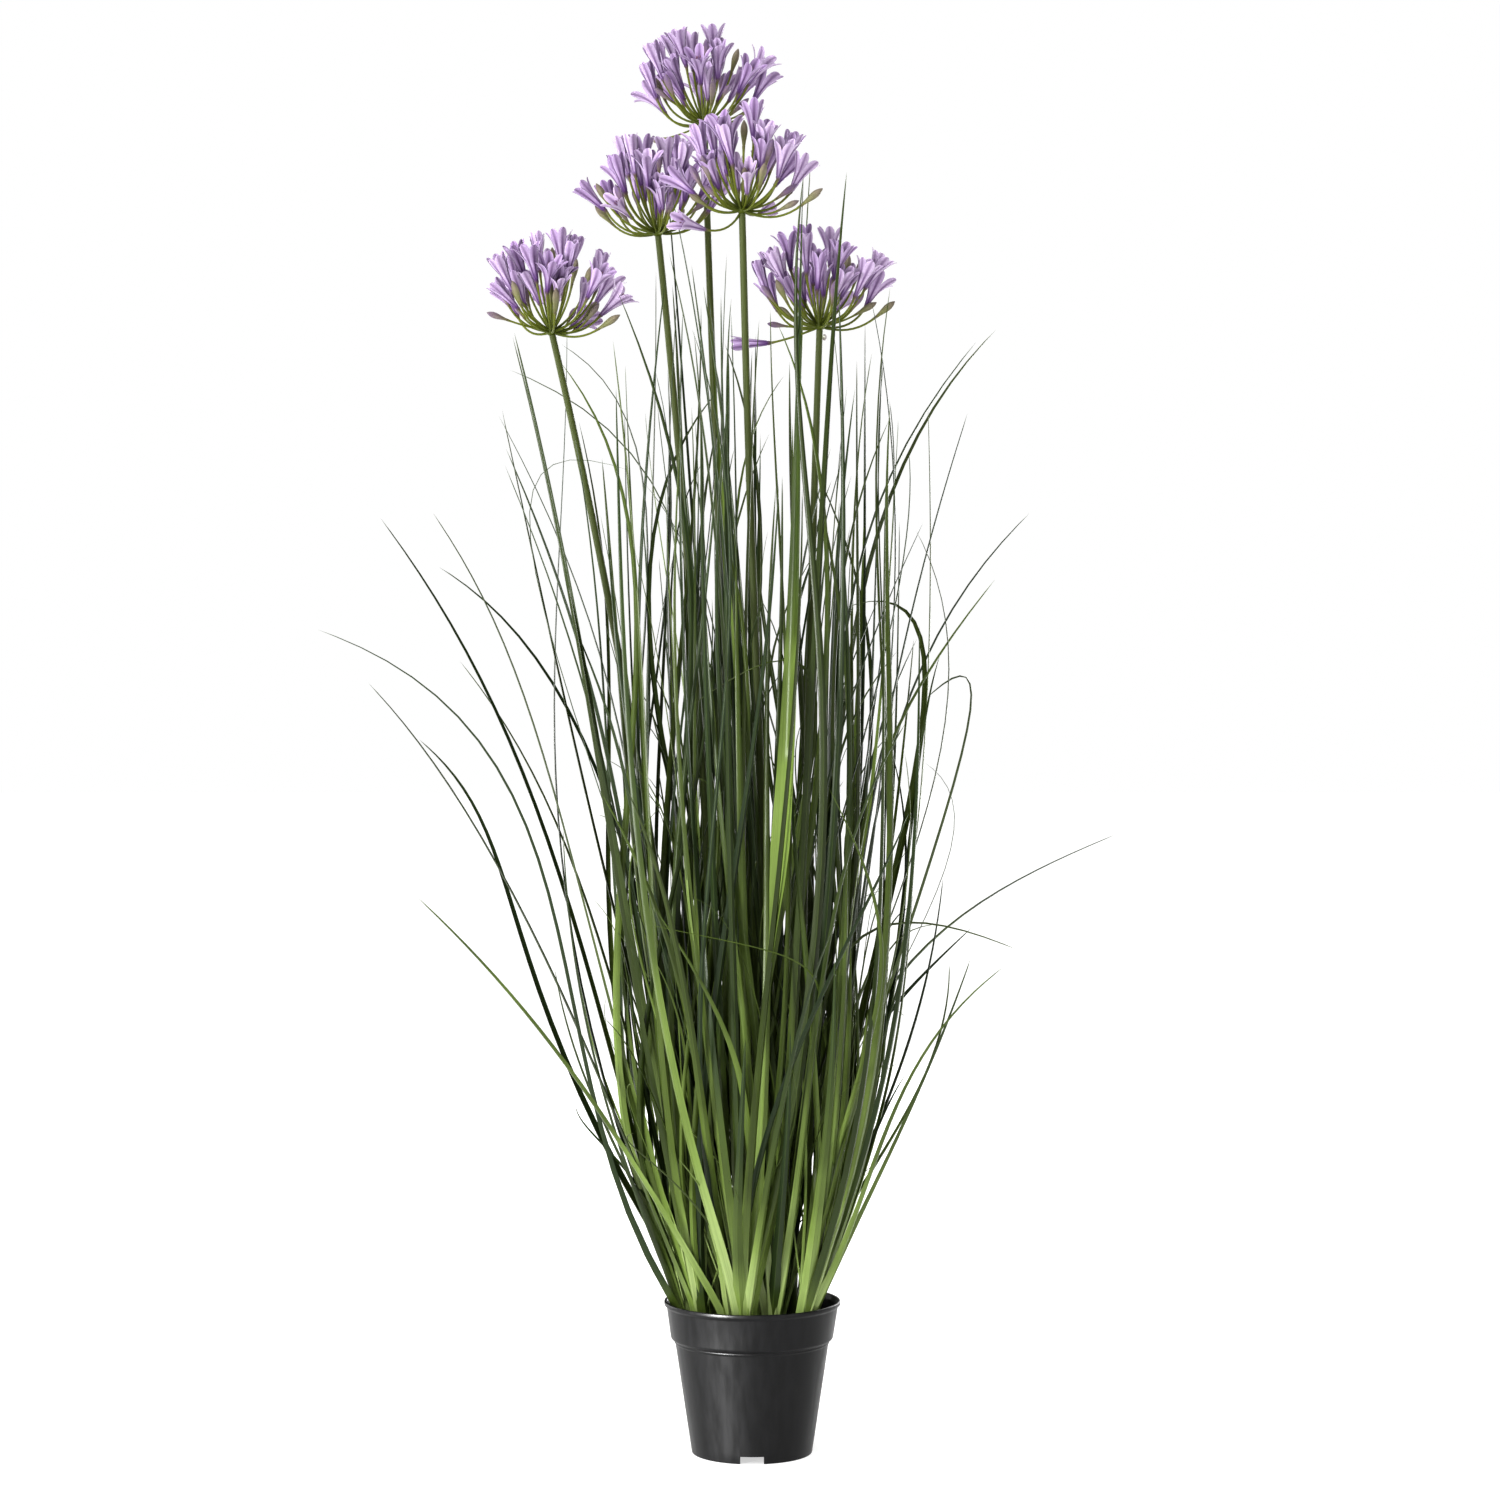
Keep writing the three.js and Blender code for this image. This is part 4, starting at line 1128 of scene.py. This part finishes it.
def add_pot():
    def wall_at(height):
        return lerp(inner(FOOT_RADIUS), inner(BODY_RADIUS), height / BODY_HEIGHT)

    profile = rounded([
        (0, BASE_UNDERSIDE),
        (wall_at(BASE_UNDERSIDE), BASE_UNDERSIDE),
        (inner(FOOT_RADIUS), 0),
        (FOOT_RADIUS, 0),
        (lerp(FOOT_RADIUS, BODY_RADIUS, 0.1), 0.1 * BODY_HEIGHT),
        (BODY_RADIUS - 0.4, BODY_HEIGHT - 2.6),
        (BODY_RADIUS + 0.5, BODY_HEIGHT - 1.6),
        (BODY_RADIUS + 0.3, BODY_HEIGHT - 0.2),
        (STEP_RADIUS - 0.5, STEP_HEIGHT - 1.2),
        (STEP_RADIUS, STEP_HEIGHT),
        (COLLAR_RADIUS, COLLAR_HEIGHT),
        (LIP_RADIUS, LIP_UNDERSIDE),
        (LIP_RADIUS, POT_HEIGHT),
        (LIP_RADIUS - LIP_WIDTH, POT_HEIGHT),
        (inner(COLLAR_RADIUS), COLLAR_HEIGHT),
        (inner(STEP_RADIUS), STEP_HEIGHT),
        (inner(BODY_RADIUS), BODY_HEIGHT),
        (wall_at(BASE_TOP), BASE_TOP),
        (0, BASE_TOP),
    ])
    half_notch = math.asin(NOTCH_WIDTH / 2 / FOOT_RADIUS)
    middles = np.array(NOTCH_AZIMUTHS) * DEGREE
    sides = [side * (half_notch + edge) for side in (-1, 1) for edge in (-NOTCH_EDGE, NOTCH_EDGE)]
    edges = np.add.outer(middles, sides).ravel() % (2 * math.pi)
    azimuths = np.sort(np.concatenate([turns(POT_COLUMNS), edges]))

    def lift(radii, heights):
        away = np.abs((azimuths[:, None] - middles + math.pi) % (2 * math.pi) - math.pi).min(axis=1)
        raised = np.where(away < half_notch, NOTCH_PRESS * np.maximum(NOTCH_HEIGHT - heights, 0), 0)
        radii = radii + raised * (BODY_RADIUS - FOOT_RADIUS) / BODY_HEIGHT
        heights = heights + raised
        wave = sum(high * np.sin(count * azimuths + start) for count, high, start in COLLAR_WAVES)
        return radii + wave * ease((heights - STEP_HEIGHT) / (POT_HEIGHT - STEP_HEIGHT)), heights

    return lathe(profile, azimuths, lift).piece("pot_shell", pot_finish, "pot", "pot_plastic")


FILL_COLUMNS = 120
FILL_RINGS = 34


def add_fill():
    base_radius = lerp(inner(FOOT_RADIUS), inner(BODY_RADIUS), BASE_TOP / BODY_HEIGHT) - SEAT_GAP
    top_share = (FILL_TOP - STEP_HEIGHT) / (COLLAR_HEIGHT - STEP_HEIGHT)
    top_radius = inner(lerp(STEP_RADIUS, COLLAR_RADIUS, top_share)) - SEAT_GAP
    profile = np.array([
        (0, BASE_TOP + SEAT_GAP),
        (base_radius, BASE_TOP + SEAT_GAP),
        (inner(BODY_RADIUS) - SEAT_GAP, BODY_HEIGHT),
        (inner(STEP_RADIUS) - SEAT_GAP, STEP_HEIGHT),
        *[(radius, FILL_TOP) for radius in np.linspace(top_radius, 0, FILL_RINGS)],
    ])
    azimuths = turns(FILL_COLUMNS)

    def lift(radii, heights):
        """Crumbs a few millimetres wide, on a surface that isn't quite level."""
        rough = np.zeros_like(heights)
        for i, j in np.argwhere((heights == FILL_TOP) & (radii < top_radius - 1)):
            x, y = radii[i, j] * math.cos(azimuths[j]), radii[i, j] * math.sin(azimuths[j])
            grain = noise.voronoi(Vector((x, y, 0)) * 0.28)[0][0]
            rough[i, j] = 1.6 - 3.4 * grain + 0.8 * noise.noise(Vector((x, y, 5)) * 0.06)
        return radii, heights + rough

    lathe(profile, azimuths, lift).piece("fill_top", fill_finish, "pot_fill", "fill")


# ---- Finishes ----


def rgb(*color):
    """A colour as it looks on a screen, 0 to 255, in Blender's linear light."""
    light = [((c / 255 + 0.055) / 1.055) ** 2.4 if c > 10 else c / 255 / 12.92 for c in color]
    return (*light, 1)


class Finish:
    """The nodes of a material or world, from short calls. Colours are screen colours, 0 to 255."""

    def __init__(self, name, kind=bpy.data.materials, shader="Principled BSDF"):
        self.material = kind.new(name)
        self.material.use_nodes = True
        self.tree = self.material.node_tree
        self.shader = self.tree.nodes[shader]

    def node(self, kind, inputs=(), **settings):
        made = self.tree.nodes.new(kind)
        for key, value in settings.items():
            setattr(made, key, value)
        for key, value in dict(inputs).items():
            self.put(made.inputs[key], value)
        return made

    def put(self, socket, value):
        if isinstance(value, bpy.types.NodeSocket):
            self.tree.links.new(value, socket)
        else:
            socket.default_value = value

    def channels(self, *names):
        return [self.node("ShaderNodeAttribute", attribute_name=name).outputs["Fac"] for name in names]

    def place(self):
        return self.node("ShaderNodeTexCoord").outputs["Object"]

    def math(self, operation, a, b=0.0, clamp=False):
        return self.node("ShaderNodeMath", {0: a, 1: b}, operation=operation, use_clamp=clamp).outputs[0]

    def times(self, a, b):
        return self.math("MULTIPLY", a, b)

    def plus(self, a, b):
        return self.math("ADD", a, b)

    def span(self, value, low, high, to_low=0.0, to_high=1.0):
        inputs = {"Value": value, "From Min": low, "From Max": high, "To Min": to_low, "To Max": to_high}
        return self.node("ShaderNodeMapRange", inputs, interpolation_type="SMOOTHSTEP").outputs["Result"]

    def mix(self, share, a, b):
        made = self.node("ShaderNodeMix", data_type="RGBA")
        self.put(made.inputs[0], share)
        for socket, value in ((made.inputs[6], a), (made.inputs[7], b)):
            self.put(socket, rgb(*value) if isinstance(value, tuple) else value)
        return made.outputs[2]

    def tint(self, base, share, most, color):
        """The base with a share of another colour, the most that there is of it."""
        return self.mix(self.times(share, most), base, color)

    def ramp(self, value, *stops):
        """Each stop is its place and its colour."""
        made = self.node("ShaderNodeValToRGB", {"Fac": value})
        elements = made.color_ramp.elements
        while len(elements) < len(stops):
            elements.new(0.5)
        for element, (position, *color) in zip(elements, stops):
            element.position, element.color = position, rgb(*color)
        return made.outputs["Color"]

    def noise(self, scale, detail=3.0, vector=None):
        inputs = {"Scale": scale, "Detail": detail, "Roughness": 0.55, "Vector": vector or self.place()}
        return self.node("ShaderNodeTexNoise", inputs).outputs["Fac"]

    def combine(self, x, y, z):
        return self.node("ShaderNodeCombineXYZ", {0: x, 1: y, 2: z}).outputs[0]

    def bump(self, height, distance, strength):
        inputs = {"Height": height, "Distance": distance, "Strength": strength}
        self.put(self.shader.inputs["Normal"], self.node("ShaderNodeBump", inputs).outputs["Normal"])

    def set(self, **inputs):
        for key, value in inputs.items():
            self.put(self.shader.inputs[key.replace("_", " ")], value)

    def done(self, color, roughness, **inputs):
        self.set(Base_Color=color, Roughness=roughness, **inputs)
        return self.material


def ridged(finish, along, across, tone, pitch):
    """A height of fine lines along a blade, each line of its own strength, and those strengths."""
    lines = finish.math("SINE", finish.times(across, 2 * math.pi / pitch))
    place = finish.combine(finish.times(across, 1.2), finish.times(along, 9.0), tone)
    streaks = finish.noise(1.0, 2.0, place)
    return finish.times(lines, streaks), streaks


def make_leaf_finish():
    f = Finish("leaf_green")
    along, across, tone, part, fresh = f.channels(*CHANNELS)
    height, streaks = ridged(f, along, across, tone, 0.62)
    own = f.math("FRACT", f.times(tone, 7.31))
    reach = f.math("DIVIDE", along, f.span(tone, 0.0, 1.0, 0.16, 1.9))
    patches = f.noise(1.0, 2.0, f.combine(f.times(along, 7.0), f.times(tone, 60.0), 0.0))
    place = f.plus(reach, f.span(patches, 0.3, 0.7, -0.05, 0.06))
    aged = f.times(place, f.math("SUBTRACT", 1.0, fresh, clamp=True))
    aged = f.plus(aged, f.times(fresh, 0.1))
    pale = (0.0, 163, 181, 118), (0.07, 125, 146, 74), (0.17, 76, 92, 33)
    green = f.ramp(aged, *pale, (0.33, 43, 58, 18), (0.6, 34, 48, 15), (1.0, 29, 43, 13))
    hue = f.ramp(own, (0.0, 22, 42, 21), (0.35, 32, 50, 17), (0.7, 56, 65, 14), (1.0, 92, 110, 28))
    green = f.mix(f.span(aged, 0.08, 0.45, 0.08, 0.5), green, hue)
    green = f.tint(green, f.span(streaks, 0.4, 0.75), 0.22, (18, 24, 8))
    rib = f.math("SUBTRACT", 1.0, f.span(f.math("ABSOLUTE", across), 0.0, 0.5))
    green = f.tint(green, rib, 0.22, (96, 116, 50))
    green = f.tint(green, part, 0.12, (58, 70, 40))
    f.bump(height, 0.00022, 0.5)
    rough = f.span(streaks, 0.2, 0.8, 0.42, 0.6)
    return f.done(green, rough, Specular_IOR_Level=0.12, Coat_Weight=0.36, Coat_Roughness=0.22)


def make_scape_finish():
    f = Finish("scape_green")
    along, across, tone = f.channels("along", "across", "tone")
    height, streaks = ridged(f, along, across, tone, 1.45)
    green = f.ramp(along, (0.0, 88, 104, 42), (0.2, 64, 75, 28), (0.6, 60, 70, 26), (1.0, 72, 80, 30))
    green = f.tint(green, f.span(streaks, 0.3, 0.75), 0.5, (42, 50, 17))
    green = f.tint(green, f.noise(260.0, 4.0), 0.25, (78, 90, 46))
    f.bump(height, 0.0002, 0.4)
    return f.done(green, f.span(streaks, 0.2, 0.8, 0.4, 0.56), Specular_IOR_Level=0.3)


def make_stalk_finish():
    f = Finish("stalk_green")
    along, tone = f.channels("along", "tone")
    # Painted shade: the stalks are darkest at their foot by the hub, deep in the head, and lighter out
    # towards their flower; just under it they turn mauve.
    green = f.ramp(along, (0.0, 66, 76, 10), (0.45, 90, 98, 16), (0.9, 104, 110, 34), (1.0, 92, 78, 70))
    mottle = f.noise(900.0)
    green = f.tint(green, f.span(mottle, 0.35, 0.7), 0.4, (58, 66, 8))
    green = f.tint(green, tone, 0.3, (110, 120, 38))
    f.bump(mottle, 0.0002, 0.5)
    return f.done(green, f.span(mottle, 0.3, 0.7, 0.42, 0.6), Specular_IOR_Level=0.25)


def make_bud_finish():
    f = Finish("bud_mauve")
    along, across, tone = f.channels("along", "across", "tone")
    green = f.ramp(along, (0.0, 101, 104, 42), (0.35, 112, 115, 67), (0.7, 118, 110, 88), (1.0, 96, 84, 76))
    violet = f.ramp(along, (0.0, 101, 94, 56), (0.4, 122, 98, 126), (1.0, 102, 77, 125))
    cloth = f.noise(520.0, 4.0)
    body = f.mix(f.span(tone, 0.35, 0.65), green, violet)
    body = f.tint(body, f.span(across, -1.0, 1.0), 0.35, (70, 61, 48))
    body = f.tint(body, f.span(cloth, 0.35, 0.7), 0.3, (141, 134, 112))
    f.bump(cloth, 0.00025, 0.5)
    return f.done(body, f.span(cloth, 0.3, 0.7, 0.55, 0.75))


def make_petal_finish():
    """Petals with a dark middle, pale edges and painted shade towards their foot, and the tube and stamens,
    told apart by their part.
    """
    f = Finish("petal_lilac")
    along, across, tone, part = f.channels("along", "across", "tone", "part")
    wide = f.math("ABSOLUTE", across)
    veins = f.math("SINE", f.times(across, 22.0))
    cloth = f.noise(700.0, 4.0)
    lilac = f.mix(tone, (156, 130, 172), (204, 186, 212))
    vein = f.mix(tone, (60, 26, 72), (96, 62, 112))
    middle = f.math("SUBTRACT", 1.0, f.span(wide, 0.04, 0.6))
    petal = f.mix(f.times(middle, f.span(along, 0.1, 0.98, 0.95, 0.5)), lilac, vein)
    petal = f.tint(petal, f.span(veins, 0.2, 1.0), 0.05, (86, 60, 112))
    petal = f.tint(petal, f.span(wide, 0.72, 1.0), 0.55, (206, 194, 218))
    # Painted shade: each petal darkens towards its foot, in the flower's throat, the more so the lower its
    # tone.
    petal = f.tint(petal, f.span(along, 0.34, 0.0), f.span(tone, 0.2, 1.0, 1.0, 0.45), (88, 56, 110))
    tube = f.mix(f.span(tone, 0.2, 1.0), (78, 48, 96), (122, 96, 142))
    tube = f.mix(f.span(along, 0.1, 0.0), tube, (92, 80, 62))
    stamen = f.mix(f.span(along, 0.6, 0.9), (171, 149, 179), (132, 100, 118))
    color = f.mix(f.span(part, 0.4, 0.6), petal, tube)
    color = f.mix(f.span(part, 1.4, 1.6), color, stamen)
    color = f.tint(color, f.span(cloth, 0.35, 0.7), 0.18, (104, 80, 118))
    f.bump(f.plus(f.times(cloth, 0.6), f.times(veins, 0.15)), 0.0002, 0.6)
    rough = f.span(cloth, 0.3, 0.7, 0.55, 0.72)
    return f.done(color, rough, Specular_IOR_Level=0.2, Sheen_Weight=0.1, Sheen_Roughness=0.4)


def make_pot_finish():
    f = Finish("pot_plastic")
    stretched = f.node("ShaderNodeMapping", {"Vector": f.place(), "Scale": (1.0, 1.0, 0.12)}).outputs[0]
    drag = f.noise(160.0, 4.0, stretched)
    grain = f.noise(1500.0, 2.0)
    dust = f.noise(38.0, 5.0)
    black = f.mix(f.span(drag, 0.3, 0.7), (13, 13, 14), (19, 19, 21))
    black = f.tint(black, f.span(dust, 0.55, 0.8), 0.25, (34, 33, 32))
    f.bump(f.plus(f.times(grain, 0.35), f.times(drag, 0.3)), 0.0002, 0.3)
    return f.done(black, f.span(drag, 0.25, 0.75, 0.33, 0.44), Specular_IOR_Level=0.22)


def make_fill_finish():
    f = Finish("fill_stone")
    cells = f.node("ShaderNodeTexVoronoi", {"Scale": 280.0, "Vector": f.place()})
    grit = f.noise(900.0, 5.0)
    stone = f.ramp(cells.outputs["Color"], (0.0, 32, 27, 22), (0.5, 53, 46, 38), (1.0, 77, 69, 58))
    stone = f.mix(f.span(grit, 0.35, 0.7), stone, (27, 22, 18))
    f.bump(f.plus(cells.outputs["Distance"], grit), 0.0008, 0.8)
    return f.done(stone, f.span(grit, 0.3, 0.7, 0.8, 0.98))


def make_floor_finish():
    """White ground that is lit and glows a little, so that no shadow shows on it."""
    f = Finish("floor_white")
    white = f.mix(f.noise(12.0, 4.0), (168, 168, 167), (173, 173, 172))
    return f.done(white, 0.75, Emission_Color=rgb(255, 255, 255), Emission_Strength=0.64)


# ---- The pieces ----

leaf_finish = make_leaf_finish()
scape_finish = make_scape_finish()
stalk_finish = make_stalk_finish()
bud_finish = make_bud_finish()
petal_finish = make_petal_finish()
pot_finish = make_pot_finish()
fill_finish = make_fill_finish()

pot = add_pot()
add_fill()
add_tufts()
for number, scape in enumerate(scapes, 1):
    add_scape(number, scape)
    add_head(number, scape)

# ---- Stage, light and camera, in metres ----

FLOOR_REACH = 40.0
PLANT_MIDDLE = (0, 0, 0.6)
POT_MIDDLE = (0, 0, 0.06)
WORLD_LIGHT = 0.08


def add_floor():
    mesh = bpy.data.meshes.new("floor")
    corners = [(x * FLOOR_REACH, y * FLOOR_REACH, 0) for x, y in ((-1, -1), (1, -1), (1, 1), (-1, 1))]
    mesh.from_pydata(corners, [], [(0, 1, 2, 3)])
    mesh.materials.append(make_floor_finish())
    floor = stand("floor", mesh)
    floor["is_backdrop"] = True


def add_lamp(name, light, place, target):
    lamp = stand(name, light)
    lamp.location = place
    lamp.rotation_euler = (Vector(target) - Vector(place)).to_track_quat("-Z", "Y").to_euler()
    return lamp


def add_softbox(name, place, wide, tall, power, target=PLANT_MIDDLE):
    light = bpy.data.lights.new(name, "AREA")
    light.shape, light.size, light.size_y, light.energy = "RECTANGLE", wide, tall, power
    lamp = add_lamp(name, light, place, target)
    lamp.visible_camera = False
    return lamp


def add_overhead(name, place, strength, spread):
    """A broad even light that reaches the whole floor."""
    light = bpy.data.lights.new(name, "SUN")
    light.energy, light.angle = strength, spread
    add_lamp(name, light, place, (0, 0, 0))


def add_world():
    """A white surround: full white where it is seen, and a soft light on the plant."""
    f = Finish("studio", bpy.data.worlds, "Background")
    seen = f.node("ShaderNodeLightPath").outputs["Is Camera Ray"]
    f.set(Color=(1, 1, 1, 1), Strength=f.span(seen, 0.0, 1.0, WORLD_LIGHT, 1.0))
    bpy.context.scene.world = f.material


CONTRAST_GAMMA = 0.85
CAMERA_PLACE = (-0.0017, -2.65, 0.589)
FOCAL_SHARE = 3154 / 1500
SENSOR = 36


def add_camera():
    data = bpy.data.cameras.new("camera")
    data.sensor_width = SENSOR
    data.lens = SENSOR * FOCAL_SHARE
    camera = stand("camera", data)
    camera.location = CAMERA_PLACE
    camera.rotation_euler = (math.pi / 2, 0, 0)
    bpy.context.scene.camera = camera


add_floor()
add_world()
add_overhead("daylight", (-0.9, -1.1, 2.5), 4.45, 75 * DEGREE)
add_softbox("key", (-2.2, -2.3, 0.85), 0.5, 2.0, 125)
add_softbox("fill_light", (2.5, -1.8, 1.0), 1.2, 2.0, 30)
add_softbox("back_light", (1.4, 2.8, 1.1), 2.0, 2.0, 110)
add_softbox("back_fill", (-2.4, 2.0, 1.1), 1.6, 2.0, 60)

# A gleam on the pot alone: it only shows in reflections, and falls on nothing else.
gleam = add_softbox("gleam", (-1.04, -1.1, 0.16), 0.14, 0.3, 190, POT_MIDDLE)
gleam.visible_diffuse = False
gleam.light_linking.receiver_collection = bpy.data.collections.new("gleam_falls_on")
gleam.light_linking.receiver_collection.objects.link(pot)
add_camera()
view = bpy.context.scene.view_settings
view.view_transform = "Standard"
view.gamma = CONTRAST_GAMMA

[[list(corner) for corner in box] for box in (cad_box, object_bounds())]
